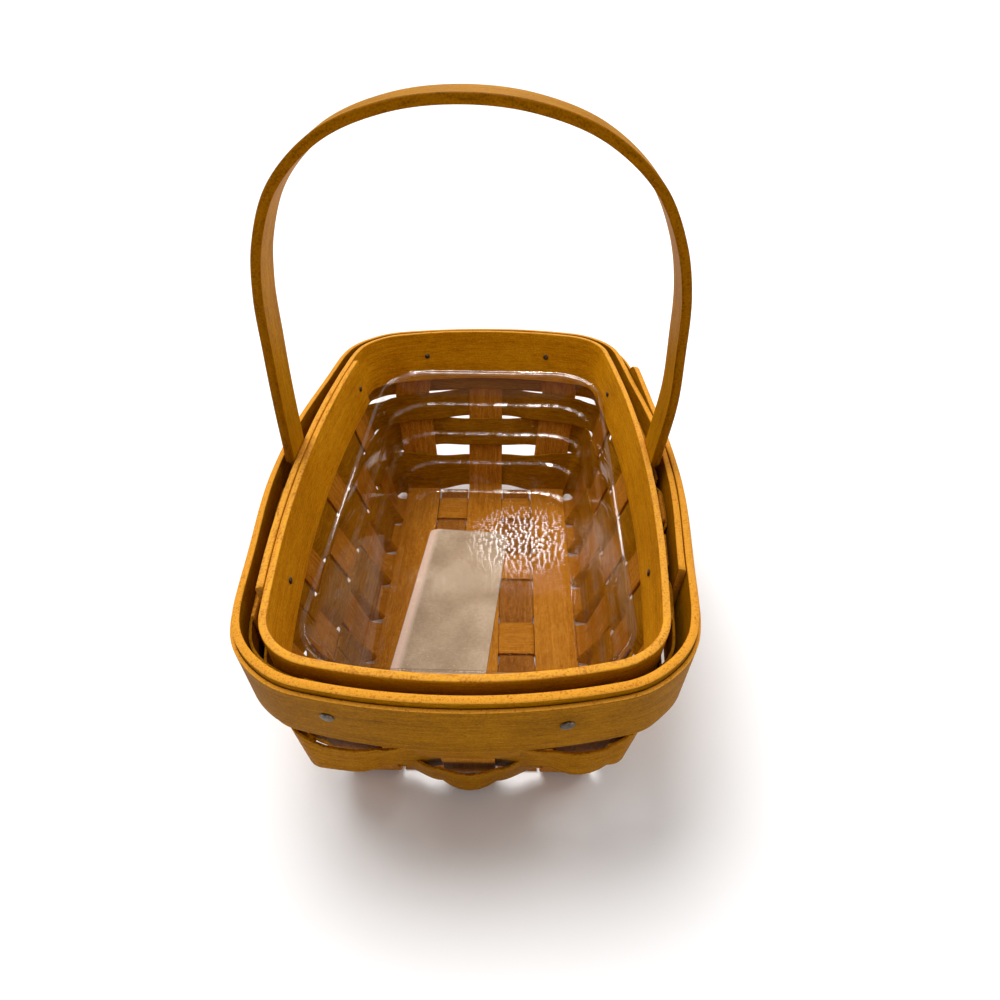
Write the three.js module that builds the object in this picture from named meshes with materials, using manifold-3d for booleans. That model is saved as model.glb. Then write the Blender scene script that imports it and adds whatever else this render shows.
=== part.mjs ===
import * as THREE from "three";
import { mergeVertices } from "three/addons/utils/BufferGeometryUtils.js";
import Module from "manifold-3d";

const wasm = await Module();
wasm.setup();

// A woven splint basket with a bent handle, a clear liner that lifts out and a paper slip.
// Millimetres. X runs across the basket, Y along it, Z up. The base stands on z = 0.

// Splints and strips
const SPLINT_THICK = 0.8;
const UPRIGHT_WIDTH = 15.3;
const FOURTH_ROW_WIDTH = 12.2; // the two rows behind the bands
const FIFTH_ROW_WIDTH = 6.6;
const FILLER_GAP = 0.2; // between a filler and the long splints beside it
const FILLER_NECK_GAP = 1.4; // the same, where it dips under a cross splint
const FILLER_FAR_REACH = 0.3; // past the middle of the far wall, at the floor
const FILLER_NEAR_REACH = -1;
const BAND_THICK = 2.1;
const BAND_WIDTH = 21;
const OUTER_BAND_WIDTH = 27.6;
const TRIM_THICK = 1;
const TRIM_WIDTH = 19.9;
const PLY_GAP = 0.15; // between two plies that lie on each other
const EDGE_GAP = 0.3; // between two rows, and beside a splint that a strip passes

// Basket body
const RIM_HEIGHT = 70.7;
const RIM_HALF_WIDTH = 55.2; // to the inner band's inner face, at the rim
const RIM_HALF_LENGTH = 97.3;
const RIM_SIDE_RADIUS = 570;
const RIM_END_RADIUS = 152;
const RIM_CORNER_RADIUS = 18;
const END_FLARE = 0.235; // how far the banded top leans out for each millimetre up
const SIDE_FLARE = 0.125;
const KNEE_CORNER_RADIUS = 10;
const KNEE_DROP = 26.5; // the wall leans in more steeply from this far under the rim
const BASE_HALF_WIDTH = 40.5; // to the middle of the wall, at the floor
const BASE_HALF_LENGTH = 75.5;
const BASE_CORNER_RADIUS = 3.6;
const FOLD_LEG = 3.2; // how far each side of a floor corner the fold starts

// Splint layout
const LONG_COUNT = 3;
const LONG_MARGIN = 4.35; // from the outer long splints' edges to the side walls, at the floor
const CROSS_COUNT = 7;
const CROSS_MARGIN = 7.85; // from the outer cross splints' edges to the end walls
const UPRIGHT_DROP = 6.2; // upright ends stop this far under the rim
const FIRST_ROW_LIFT = 4.58; // lowest row's lower edge over the floor
const LOW_ROW_GAP = 5.1; // open gap over the lowest row
const UPPER_ROW_GAP = 0.7;
const CORNER_SAG = 1.5; // how far the middle rows drop round the corners
const FIRST_ROW_BOW = 2.8; // how far a row bulges where it passes outside an end upright
const SECOND_ROW_BOW = 2.4;
const FIRST_ROW_KICK = 2.2; // how much further out its lower edge stands there
const SECOND_ROW_KICK = 2.6;

// Rim bands
const OUTER_DROP = 1.3; // outer band's top edge under the rim
const TRIM_DROP = 4.1;
const INNER_START = 67.9; // ends of the two spiral bands, measured along the side from its middle
const INNER_END = 69;
const OUTER_START = 58.4;
const OUTER_END = 65.6;
const PLY_FLAT = 71; // doubled strips lie flat this far each way, then ramp in round the corners
const PLY_RAMP = 25;
const FREE_END_RADIUS = 6;
const TRIM_SEAM = 30;

// Handle
const HANDLE_WIDTH = 14.8;
const HANDLE_THICK = 2.9;
const TONGUE_THICK = 1.6; // the thinned foot between the bands
const HANDLE_RISE = 105.8; // middle of the strip over the rim at the top of the arch
const HANDLE_SPREAD = 61.8; // widest half span, to the middle of the strip
const HANDLE_EDGE = 0.6;
const HANDLE_DRIFT = -1.4; // the arch's top lies this far to the left
const TONGUE_FLAT = 11; // the wall stands clear of the foot this far each way
const TONGUE_RAMP = 47;

// Tacks
const TACK_DEPTH = 10.6; // under the rim
const NEAR_TACK_DEPTHS = [11.6, 12.1];
const TACK_HEAD_RADIUS = 1.9;
const TACK_HEAD_HEIGHT = 0.7;
const TACK_SHANK_RADIUS = 0.7;
const TACK_TIP_RADIUS = 1.1;
const TACK_TIP_HEIGHT = 0.45;
const TACK_BORE_GAP = 0.25;
const TACK_SEAT_GAP = 0.2;
// Each tack's distance from the middle of the outermost splint, towards the middle of its wall.
const NEAR_LEFT_TACK = -0.1;
const NEAR_RIGHT_TACK = 6.1;
const FAR_LEFT_TACK = 4.1;
const FAR_RIGHT_TACK = 3.1;
const LEFT_FAR_TACK = 3.9;
const LEFT_NEAR_TACK = 10.8;
const RIGHT_FAR_TACK = 6.7;
const RIGHT_NEAR_TACK = -6.2; // this one is measured from the next splint

// Liner
const LINER_SIDE_GAP = 8.7; // from the liner's lip to the inner band, at each side
const LINER_END_GAP = 10.7;
const LINER_CORNER_RADIUS = 20.3;
const LINER_HEIGHT = 55.3;
const LINER_WALL = 1;
const LINER_SIDE_TAPER = 0.13; // how far a plain wall comes in for each millimetre down
const LINER_END_TAPER = 0.29;
const LINER_STEPS = 4;
const LINER_STEP_PITCH = 12.45;
const LINER_FIRST_STEP = 3.6; // above the liner's underside
const LINER_LEDGE = 0.9;
const LINER_LIP = 1.1;
const LINER_LIP_DEPTH = 1.6;
const LINER_BASE_ROUND = 3;
const LINER_SEAT_GAP = 0.3;
const LINER_SHIFT_X = 1.35;
const LINER_TURN = -1.2; // degrees

// Paper slip under the liner
const SLIP_WIDTH = 33.7;
const SLIP_LENGTH = 96;
const SLIP_THICK = 0.25;
const SLIP_X = -10.4;
const SLIP_Y = -5.4;
const SLIP_TURN = -5.3; // degrees

const KNEE_HEIGHT = RIM_HEIGHT - KNEE_DROP;
const LONG_PITCH = (2 * (BASE_HALF_WIDTH - LONG_MARGIN) - UPRIGHT_WIDTH) / (LONG_COUNT - 1);
const CROSS_PITCH = (2 * (BASE_HALF_LENGTH - CROSS_MARGIN) - UPRIGHT_WIDTH) / (CROSS_COUNT - 1);
const FILLER_WIDTH = LONG_PITCH - UPRIGHT_WIDTH - 2 * FILLER_GAP;
const FILLER_NECK = LONG_PITCH - UPRIGHT_WIDTH - 2 * FILLER_NECK_GAP;
const LINER_HALF_WIDTH = RIM_HALF_WIDTH - LINER_SIDE_GAP;
const LINER_HALF_LENGTH = RIM_HALF_LENGTH - LINER_END_GAP;
const WEAVE_SLACK = (UPRIGHT_WIDTH * UPRIGHT_WIDTH) / (16 * RIM_END_RADIUS);
const WEAVE_SWING = SPLINT_THICK + PLY_GAP + WEAVE_SLACK; // a row's middle to the wall's middle
const WALL_HALF = WEAVE_SWING + SPLINT_THICK / 2;
const BAND_OFFSET = WALL_HALF + PLY_GAP + BAND_THICK / 2;
const TRIM_OFFSET = BAND_OFFSET + BAND_THICK / 2 + PLY_GAP + TRIM_THICK / 2;
const PLY_STEP = BAND_THICK + PLY_GAP;
const TONGUE_STEP = TONGUE_THICK + PLY_GAP;
const LEAN = Math.atan(END_FLARE);
const SIDE_LEAN = Math.atan(SIDE_FLARE);
const COS_LEAN = Math.cos(LEAN);
const SIN_LEAN = Math.sin(LEAN);
const BAND_BOTTOM = RIM_HEIGHT - BAND_WIDTH * COS_LEAN;
const CROSS_LEVEL = SPLINT_THICK / 2;
const LONG_LEVEL = CROSS_LEVEL + SPLINT_THICK + PLY_GAP;
const FLOOR_TOP = LONG_LEVEL + SPLINT_THICK / 2;
const RIM_GROW = (BAND_THICK / 2 + BAND_OFFSET) / COS_LEAN; // inner band's face to the wall's middle
const KNEE_END_GROW = RIM_GROW - END_FLARE * KNEE_DROP;
const KNEE_SIDE_GROW = RIM_GROW - SIDE_FLARE * KNEE_DROP;
const LOWER_LEAN = Math.atan((RIM_HALF_LENGTH + KNEE_END_GROW - BASE_HALF_LENGTH) / KNEE_HEIGHT);
const LOW_ROWS_RISE = KNEE_HEIGHT - UPPER_ROW_GAP - EDGE_GAP - LOW_ROW_GAP - FIRST_ROW_LIFT;
const ROW_HEIGHT = LOW_ROWS_RISE / 3; // three rows share the wall under the knee
const WEAVER_WIDTH = ROW_HEIGHT / Math.cos(LOWER_LEAN);
const FIRST_ROW_BOTTOM = FIRST_ROW_LIFT;
const SECOND_ROW_BOTTOM = FIRST_ROW_BOTTOM + ROW_HEIGHT + LOW_ROW_GAP;
const THIRD_ROW_BOTTOM = SECOND_ROW_BOTTOM + ROW_HEIGHT + EDGE_GAP;
const FOURTH_ROW_BOTTOM = KNEE_HEIGHT + EDGE_GAP;
const FIFTH_ROW_BOTTOM = FOURTH_ROW_BOTTOM + FOURTH_ROW_WIDTH * COS_LEAN + EDGE_GAP;
const SHIFT_LOW = FIRST_ROW_BOTTOM + ROW_HEIGHT + EDGE_GAP; // the wall starts to swell here

const maple = (color, roughness = 0.55) =>
  new THREE.MeshStandardMaterial({ color, roughness, metalness: 0 });
const materials = {
  splint: maple(0xb5772a),
  weaver: maple(0xa9691f),
  filler: maple(0x8a5426),
  band: maple(0xc2862c),
  handle: maple(0xc08430),
  tack: new THREE.MeshStandardMaterial({ color: 0x7c7b80, roughness: 0.45, metalness: 0.9 }),
  liner: new THREE.MeshStandardMaterial({ color: 0xe9e4ea, roughness: 0.06, metalness: 0 }),
  paper: new THREE.MeshStandardMaterial({ color: 0xd8c6a6, roughness: 0.8, metalness: 0 }),
};

const clamp01 = (t) => Math.min(1, Math.max(0, t));
const ease = (t) => clamp01(t) ** 2 * (3 - 2 * clamp01(t));

// One quarter of the rim's plan: a wide side arc, a corner arc and a wide end arc.
function arcQuarter(sideGrow, endGrow, corner) {
  const side = RIM_SIDE_RADIUS + sideGrow;
  const end = RIM_END_RADIUS + endGrow;
  const sideX = RIM_HALF_WIDTH - RIM_SIDE_RADIUS;
  const endY = RIM_HALF_LENGTH - RIM_END_RADIUS;
  const toSide = side - corner;
  const toEnd = end - corner;
  const apart = Math.hypot(sideX, endY);
  const along = (toSide * toSide - toEnd * toEnd + apart * apart) / (2 * apart);
  const across = Math.sqrt(toSide * toSide - along * along);
  const ux = -sideX / apart;
  const uy = endY / apart;
  const cornerX = sideX + along * ux - across * uy;
  const cornerY = along * uy + across * ux;
  const sideAngle = Math.atan2(cornerY, cornerX - sideX);
  const endAngle = Math.atan2(cornerY - endY, cornerX);
  const arcs = [
    { x: sideX, y: 0, radius: side, from: 0, to: sideAngle },
    { x: cornerX, y: cornerY, radius: corner, from: sideAngle, to: endAngle },
    { x: 0, y: endY, radius: end, from: endAngle, to: Math.PI / 2 },
  ];
  const lengths = arcs.map((arc) => arc.radius * (arc.to - arc.from));
  const at = (stretch, f) => {
    const arc = arcs[stretch];
    const angle = arc.from + (arc.to - arc.from) * f;
    const nx = Math.cos(angle);
    const ny = Math.sin(angle);
    return { x: arc.x + arc.radius * nx, y: arc.y + arc.radius * ny, nx, ny };
  };
  return { lengths, at };
}

// One quarter of the base's plan: two straight stretches and a corner arc.
function straightQuarter() {
  const r = BASE_CORNER_RADIUS;
  const cx = BASE_HALF_WIDTH - r;
  const cy = BASE_HALF_LENGTH - r;
  const at = (stretch, f) => {
    if (stretch === 0) return { x: BASE_HALF_WIDTH, y: cy * f, nx: 1, ny: 0 };
    if (stretch === 2) return { x: cx * (1 - f), y: BASE_HALF_LENGTH, nx: 0, ny: 1 };
    const angle = (f * Math.PI) / 2;
    return { x: cx + r * Math.cos(angle), y: cy + r * Math.sin(angle), nx: Math.cos(angle), ny: Math.sin(angle) };
  };
  return { at };
}

const rimQuarter = arcQuarter(RIM_GROW, RIM_GROW, RIM_CORNER_RADIUS + RIM_GROW);
const kneeQuarter = arcQuarter(KNEE_SIDE_GROW, KNEE_END_GROW, KNEE_CORNER_RADIUS);
const baseQuarter = straightQuarter();
const [SIDE_RUN, CORNER_RUN, END_RUN] = rimQuarter.lengths;
const QUARTER = SIDE_RUN + CORNER_RUN + END_RUN;
const RING = 4 * QUARTER;

// A point between two rings, one above the other. s runs round the rim from the middle of the
// right side, over the far end, the left side and the near end. out is the distance outside.
function between(upper, lower, s, h, z, rise, out) {
  const round = ((s % RING) + RING) % RING;
  const quarter = Math.floor(round / QUARTER) % 4;
  const odd = quarter % 2 === 1;
  const local = odd ? QUARTER - (round - quarter * QUARTER) : round - quarter * QUARTER;
  let stretch = 0;
  let f = local / SIDE_RUN;
  if (local > SIDE_RUN + CORNER_RUN) {
    stretch = 2;
    f = (local - SIDE_RUN - CORNER_RUN) / END_RUN;
  } else if (local > SIDE_RUN) {
    stretch = 1;
    f = (local - SIDE_RUN) / CORNER_RUN;
  }
  const top = upper.at(stretch, f);
  const base = lower.at(stretch, f);
  const mix = (a, b) => b + (a - b) * h;
  const normal = new THREE.Vector2(mix(top.nx, base.nx), mix(top.ny, base.ny)).normalize();
  const slope = Math.hypot(top.x - base.x, top.y - base.y) / rise;
  const reach = out * Math.hypot(1, slope);
  const signX = quarter === 1 || quarter === 2 ? -1 : 1;
  const signY = quarter >= 2 ? -1 : 1;
  return new THREE.Vector3(
    signX * (mix(top.x, base.x) + normal.x * reach),
    signY * (mix(top.y, base.y) + normal.y * reach),
    z,
  );
}

// The middle surface of the banded top, which is a plain cone all the way down.
function topPoint(s, z, out = 0) {
  return between(rimQuarter, kneeQuarter, s, (z - KNEE_HEIGHT) / KNEE_DROP, z, KNEE_DROP, out);
}

// The middle surface of the whole wall.
function wallPoint(s, z, out = 0) {
  if (z >= KNEE_HEIGHT) return topPoint(s, z, out);
  return between(kneeQuarter, baseQuarter, s, z / KNEE_HEIGHT, z, KNEE_HEIGHT, out);
}

// Distance along the rim from the middle of the nearer long side, and which side that is.
function fromSide(s) {
  const round = ((s % RING) + RING) % RING;
  const onLeft = round > QUARTER && round < 3 * QUARTER;
  const middle = onLeft ? 2 * QUARTER : round > QUARTER ? RING : 0;
  return { onLeft, distance: Math.abs(round - middle) };
}

const plyShift = (s) => PLY_STEP * (1 - ease((fromSide(s).distance - PLY_FLAT) / PLY_RAMP));
const tongueShift = (s) => TONGUE_STEP * (1 - ease((fromSide(s).distance - TONGUE_FLAT) / TONGUE_RAMP));

// How far the wall itself is pushed out: by the handle's feet, and by the double band on the left.
function wallShift(s, z) {
  const fade = clamp01((z - SHIFT_LOW) / (KNEE_HEIGHT - SHIFT_LOW));
  const ply = fromSide(s).onLeft ? plyShift(s) : 0;
  return fade * (ply + tongueShift(s));
}

const wallMiddle = (s, z, out = 0) => wallPoint(s, z, wallShift(s, z) + out);

// Turns a list of cross-sections, each a ring of points, into one closed body. Both faces of a
// strip are split along the same diagonal, so that strips on each other stay apart.
function skin(sections) {
  const sides = sections[0].length;
  const points = sections.flat();
  const faces = [];
  for (let i = 0; i + 1 < sections.length; i += 1) {
    for (let j = 0; j < sides; j += 1) {
      const a = i * sides + j;
      const b = i * sides + ((j + 1) % sides);
      if (j < sides / 2) faces.push([a, b, b + sides], [a, b + sides, a + sides]);
      else faces.push([a, b, a + sides], [b, b + sides, a + sides]);
    }
  }
  const last = (sections.length - 1) * sides;
  for (let j = 1; j + 1 < sides; j += 1) {
    faces.push([0, j + 1, j], [last, last + j, last + j + 1]);
  }
  return closedBody(points, faces);
}

function closedBody(points, faces) {
  const position = new Float32Array(points.flatMap((p) => [p.x, p.y, p.z]));
  const geometry = new THREE.BufferGeometry();
  geometry.setAttribute("position", new THREE.BufferAttribute(position, 3));
  let volume = 0;
  for (const [a, b, c] of faces) volume += points[a].dot(points[b].clone().cross(points[c]));
  const outward = volume > 0 ? faces : faces.map(([a, b, c]) => [a, c, b]);
  geometry.setIndex(outward.flat());
  return geometry;
}

// A flat strip along frames of { at, across, width, thick, normal }.
function strip(frames) {
  return skin(frames.map(({ at, across, normal, width, thick }) => {
    const w = across.clone().multiplyScalar(width / 2);
    const t = normal.clone().multiplyScalar(thick / 2);
    return [
      at.clone().add(w).add(t),
      at.clone().sub(w).add(t),
      at.clone().sub(w).sub(t),
      at.clone().add(w).sub(t),
    ];
  }));
}

// Gives each point of a path its outward normal, square to the path and to the strip's width.
function framePath(path, thick) {
  return path.map((point, i) => {
    const before = path[Math.max(0, i - 1)].at;
    const after = path[Math.min(path.length - 1, i + 1)].at;
    const run = after.clone().sub(before).normalize();
    const normal = run.clone().cross(point.across).normalize();
    const across = normal.clone().cross(run).normalize();
    return { ...point, normal, across, thick };
  });
}

// A strip that lies along the wall. Each stop gives its place s along the rim, its distance out,
// its lower and upper edges, and kick, how much further out the lower edge stands; the section
// there is square to the strip's own run.
function wallStrip(stops, thick, surface) {
  return skin(stops.map(({ s, out, low, high, kick = 0 }, i) => {
    const before = stops[Math.max(0, i - 1)];
    const after = stops[Math.min(stops.length - 1, i + 1)];
    const middle = (low + high) / 2;
    const step = surface(s + 0.5, middle, out).distanceTo(surface(s - 0.5, middle, out));
    const turn = Math.atan2(after.out - before.out, (after.s - before.s) * step);
    const corner = (z, side) => {
      const shift = (side * thick) / 2;
      const along = (-shift * Math.sin(turn)) / step;
      const lower = z === low ? kick : 0;
      return surface(s + along, z - shift * SIN_LEAN, out + lower + shift * Math.cos(turn));
    };
    return [corner(high, 1), corner(low, 1), corner(low, -1), corner(high, -1)];
  }));
}

// Places along the rim: close together round the corners, wider apart on the long arcs.
function ringStops(from, to) {
  const breaks = [];
  for (let q = Math.floor(from / QUARTER) - 1; q * QUARTER < to; q += 1) {
    const mirrored = Math.abs(q % 2) === 1;
    const runs = [[SIDE_RUN, 6.5], [CORNER_RUN, 3.4], [END_RUN, 6.5]];
    let s = q * QUARTER;
    for (const [run, pitch] of mirrored ? runs.reverse() : runs) {
      const parts = Math.ceil(run / pitch);
      for (let i = 0; i < parts; i += 1) breaks.push(s + (run * i) / parts);
      s += run;
    }
  }
  return [from, ...breaks.filter((s) => s > from + 0.6 && s < to - 0.6), to];
}

// A band strip: its top edge lies drop under the rim, and offset(s) says how far out it runs.
function band({ from, to, drop, width, thick, offset, widthAt = () => width, extra = [] }) {
  const middle = RIM_HEIGHT - drop - (width / 2) * COS_LEAN;
  const plain = ringStops(from, to).filter((s) => extra.every((e) => Math.abs(e - s) > 0.8));
  const stops = plain.concat(extra).sort((a, b) => a - b).map((s) => {
    const reach = (widthAt(s) / 2) * COS_LEAN;
    return { s, out: offset(s), low: middle - reach, high: middle + reach };
  });
  return wallStrip(stops, thick, topPoint);
}

const innerBand = () => {
  const from = 2 * QUARTER - INNER_START;
  const secondTurn = from + 3 * QUARTER;
  return band({
    from,
    to: 6 * QUARTER + INNER_END,
    drop: 0,
    width: BAND_WIDTH,
    thick: BAND_THICK,
    offset: (s) => -BAND_OFFSET + (s > secondTurn && fromSide(s).onLeft ? plyShift(s) : 0),
  });
};

const outerBand = () => {
  const to = RING + OUTER_END;
  const secondTurn = 3 * QUARTER;
  const rounded = [0.03, 0.13, 0.3, 0.53, 1].map((share) => to - share * FREE_END_RADIUS);
  return band({
    from: -OUTER_START,
    to,
    drop: OUTER_DROP,
    width: OUTER_BAND_WIDTH,
    thick: BAND_THICK,
    offset: (s) => {
      const doubled = fromSide(s).onLeft || s > secondTurn;
      return BAND_OFFSET + tongueShift(s) + (doubled ? plyShift(s) : 0);
    },
    extra: rounded,
    widthAt: (s) => {
      const r = FREE_END_RADIUS;
      const past = clamp01((s - to + r) / r);
      return OUTER_BAND_WIDTH - 2 * r + 2 * r * Math.sqrt(1 - past * past) + (past === 1 ? 0.01 : 0);
    },
  });
};

const trimBand = () =>
  band({
    from: TRIM_SEAM,
    to: TRIM_SEAM + RING - EDGE_GAP,
    drop: TRIM_DROP,
    width: TRIM_WIDTH,
    thick: TRIM_THICK,
    offset: (s) => TRIM_OFFSET + tongueShift(s) + plyShift(s),
  });

// Where each splint stands in the wall, as a place along the rim.
const longPlaces = [...Array(LONG_COUNT).keys()].map((i) => (i - (LONG_COUNT - 1) / 2) * LONG_PITCH);
const crossPlaces = [...Array(CROSS_COUNT).keys()].map((i) => (i - (CROSS_COUNT - 1) / 2) * CROSS_PITCH);
const sideStop = (y) => (y / (BASE_HALF_LENGTH - BASE_CORNER_RADIUS)) * SIDE_RUN;
const endStop = (x) => QUARTER - (x / (BASE_HALF_WIDTH - BASE_CORNER_RADIUS)) * END_RUN;
const uprightStops = [
  ...crossPlaces.map(sideStop),
  ...[...longPlaces].reverse().map(endStop),
  ...[...crossPlaces].reverse().map((y) => 2 * QUARTER - sideStop(y)),
  ...longPlaces.map((x) => RING - endStop(x)),
].map((s) => (s + RING) % RING).sort((a, b) => a - b);

// The upright part of a splint, from the given height down to just over the floor.
function uprightPath(s, heights) {
  return heights.map((z) => {
    const step = wallMiddle(s + 0.5, z).distanceTo(wallMiddle(s - 0.5, z));
    const half = UPRIGHT_WIDTH / 2 / step;
    const left = wallMiddle(s - half, z);
    const right = wallMiddle(s + half, z);
    const chordMiddle = left.clone().add(right).multiplyScalar(0.5);
    const at = chordMiddle.add(wallMiddle(s, z)).multiplyScalar(0.5);
    return { at, across: right.sub(left).normalize(), width: UPRIGHT_WIDTH };
  });
}

const uprightHeights = [RIM_HEIGHT - UPRIGHT_DROP, FIFTH_ROW_BOTTOM, KNEE_HEIGHT, THIRD_ROW_BOTTOM,
  SECOND_ROW_BOTTOM, SHIFT_LOW, FOLD_LEG + 1]
  .flatMap((z, i, all) => (i > 0 && z !== SHIFT_LOW ? [(z + all[i - 1]) / 2, z] : [z]));

// A whole splint: down one wall, folded, across the floor and up the other wall.
function splintBody(startStop, endStopPlace, floor, level, across) {
  const down = uprightPath(startStop, uprightHeights);
  const up = uprightPath(endStopPlace, uprightHeights).reverse();
  const sense = down[0].across.dot(across) < 0 ? -1 : 1;
  down.forEach((p) => p.across.multiplyScalar(sense));
  const senseUp = up[0].across.dot(across) < 0 ? -1 : 1;
  up.forEach((p) => p.across.multiplyScalar(senseUp));
  const fold = (stop, neighbour, inward) => {
    const corner = wallMiddle(stop, level);
    const alongWall = neighbour.clone().sub(corner).normalize().multiplyScalar(FOLD_LEG);
    const alongFloor = inward.clone().multiplyScalar(FOLD_LEG);
    const curve = new THREE.QuadraticBezierCurve3(
      corner.clone().add(alongWall), corner, corner.clone().add(alongFloor));
    return curve.getPoints(3).map((at) => ({ at, across: across.clone(), width: UPRIGHT_WIDTH }));
  };
  const inward = floor.direction;
  const first = fold(startStop, down[down.length - 1].at, inward);
  const last = fold(endStopPlace, up[0].at, inward.clone().negate()).reverse();
  const middle = floor.points.map((at) => ({ at, across: across.clone(), width: UPRIGHT_WIDTH }));
  return strip(framePath([...down, ...first, ...middle, ...last, ...up], SPLINT_THICK));
}

function longSplint(x) {
  const floor = {
    direction: new THREE.Vector3(0, -1, 0),
    points: [new THREE.Vector3(x, 0, LONG_LEVEL)],
  };
  return splintBody(endStop(x), RING - endStop(x), floor, LONG_LEVEL, new THREE.Vector3(1, 0, 0));
}

const fillerPlaces = longPlaces.slice(1).map((x) => x - LONG_PITCH / 2);
const overFiller = (index) => index % 2 === 0;

// The points where a cross splint rises over a filler and drops again.
function crossFloor(index, y) {
  const points = [];
  if (!overFiller(index)) return [new THREE.Vector3(0, y, CROSS_LEVEL)];
  const start = LONG_PITCH / 2 - UPRIGHT_WIDTH / 2 - 1.7 * EDGE_GAP * 0.5;
  const end = FILLER_NECK / 2 + PLY_GAP;
  for (const centre of fillerPlaces) {
    const rise = [0, 0.33, 0.67, 1].map((t) => [
      centre - start + (start - end) * t,
      CROSS_LEVEL + (LONG_LEVEL - CROSS_LEVEL) * ease(t),
    ]);
    const fall = rise.map(([x, z]) => [2 * centre - x, z]).reverse();
    for (const [x, z] of [...rise, ...fall]) points.push(new THREE.Vector3(x, y, z));
  }
  return points;
}

function crossSplint(index, y) {
  const floor = { direction: new THREE.Vector3(1, 0, 0), points: crossFloor(index, y) };
  return splintBody(2 * QUARTER - sideStop(y), sideStop(y), floor, CROSS_LEVEL, new THREE.Vector3(0, 1, 0));
}

// A short strip between two long splints, over and under the cross splints by turns.
function filler(x) {
  const path = [];
  const flat = UPRIGHT_WIDTH / 2 + EDGE_GAP;
  const width = (z) => FILLER_NECK + (FILLER_WIDTH - FILLER_NECK) * (z - CROSS_LEVEL) / (LONG_LEVEL - CROSS_LEVEL);
  const push = (y, z) => path.push({
    at: new THREE.Vector3(x, y, z), across: new THREE.Vector3(1, 0, 0), width: width(z) });
  crossPlaces.forEach((y, index) => {
    const level = overFiller(index) ? CROSS_LEVEL : LONG_LEVEL;
    const next = overFiller(index + 1) ? CROSS_LEVEL : LONG_LEVEL;
    push(index === 0 ? -BASE_HALF_LENGTH - FILLER_NEAR_REACH : y - flat, level);
    push(index === CROSS_COUNT - 1 ? BASE_HALF_LENGTH + FILLER_FAR_REACH : y + flat, level);
    if (index + 1 < CROSS_COUNT) {
      const gap = CROSS_PITCH - 2 * flat;
      for (const t of [0.25, 0.5, 0.75]) push(y + flat + gap * t, level + (next - level) * ease(t));
    }
  });
  return strip(framePath(path, SPLINT_THICK));
}

const apart = (a, b) => {
  const round = (((a - b) % RING) + RING) % RING;
  return Math.min(round, RING - round);
};
const cornerStops = [SIDE_RUN + CORNER_RUN / 2, 2 * QUARTER - SIDE_RUN - CORNER_RUN / 2]
  .flatMap((s) => [s, RING - s]);

// One row of weaving: outside and inside the uprights by turns, once round the basket.
function weaver(bottom, height, phase, sag, bow, kick) {
  const count = uprightStops.length;
  const seam = 12 + ((12 + phase) % 2);
  const stop = (s, out, kicked) => {
    const near = Math.min(...cornerStops.map((c) => apart(s, c)));
    const low = bottom - sag * (1 - ease(near / (CORNER_RUN / 2 + END_RUN * 0.3)));
    return { s, out, low, high: low + height, kick: kicked };
  };
  const pass = (i) => {
    const s = uprightStops[i % count] + (i >= count ? RING : 0);
    const step = wallMiddle(s + 0.5, bottom).distanceTo(wallMiddle(s - 0.5, bottom));
    const half = (UPRIGHT_WIDTH / 2 + EDGE_GAP) / step;
    const inside = (i + phase) % 2 === 0;
    const onEnd = Math.min(apart(s, QUARTER), apart(s, 3 * QUARTER)) < END_RUN;
    const bows = !inside && onEnd && bow > 0;
    const swell = (u) => (bows ? 1 - 0.6 * u * u : 0);
    const out = (u) => (inside ? -WEAVE_SWING : WEAVE_SWING) + bow * swell(u);
    return { s, half, out, kick: (u) => kick * swell(u), inner: bows ? [-0.5, 0, 0.5] : [0] };
  };
  const stops = [];
  for (let i = seam; i <= seam + count; i += 1) {
    const here = pass(i);
    const first = i === seam;
    const last = i === seam + count;
    stops.push(stop(first ? here.s + EDGE_GAP / 2 : here.s - here.half, here.out(1), here.kick(1)));
    if (!first && !last) {
      for (const u of here.inner) stops.push(stop(here.s + u * here.half, here.out(u), here.kick(u)));
    }
    stops.push(stop(last ? here.s - EDGE_GAP / 2 : here.s + here.half, here.out(1), here.kick(1)));
    if (last) break;
    const next = pass(i + 1);
    const from = here.s + here.half;
    const gap = next.s - next.half - from;
    const parts = gap > 8 ? Math.ceil(gap / 3.6) : 4;
    for (let k = 1; k < parts; k += 1) {
      const t = k / parts;
      const share = (1 - Math.cos(Math.PI * t)) / 2;
      const blend = (a, b) => a + (b - a) * share;
      stops.push(stop(from + gap * t, blend(here.out(1), next.out(1)), blend(here.kick(1), next.kick(1))));
    }
  }
  return wallStrip(stops, SPLINT_THICK, wallMiddle);
}

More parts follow.
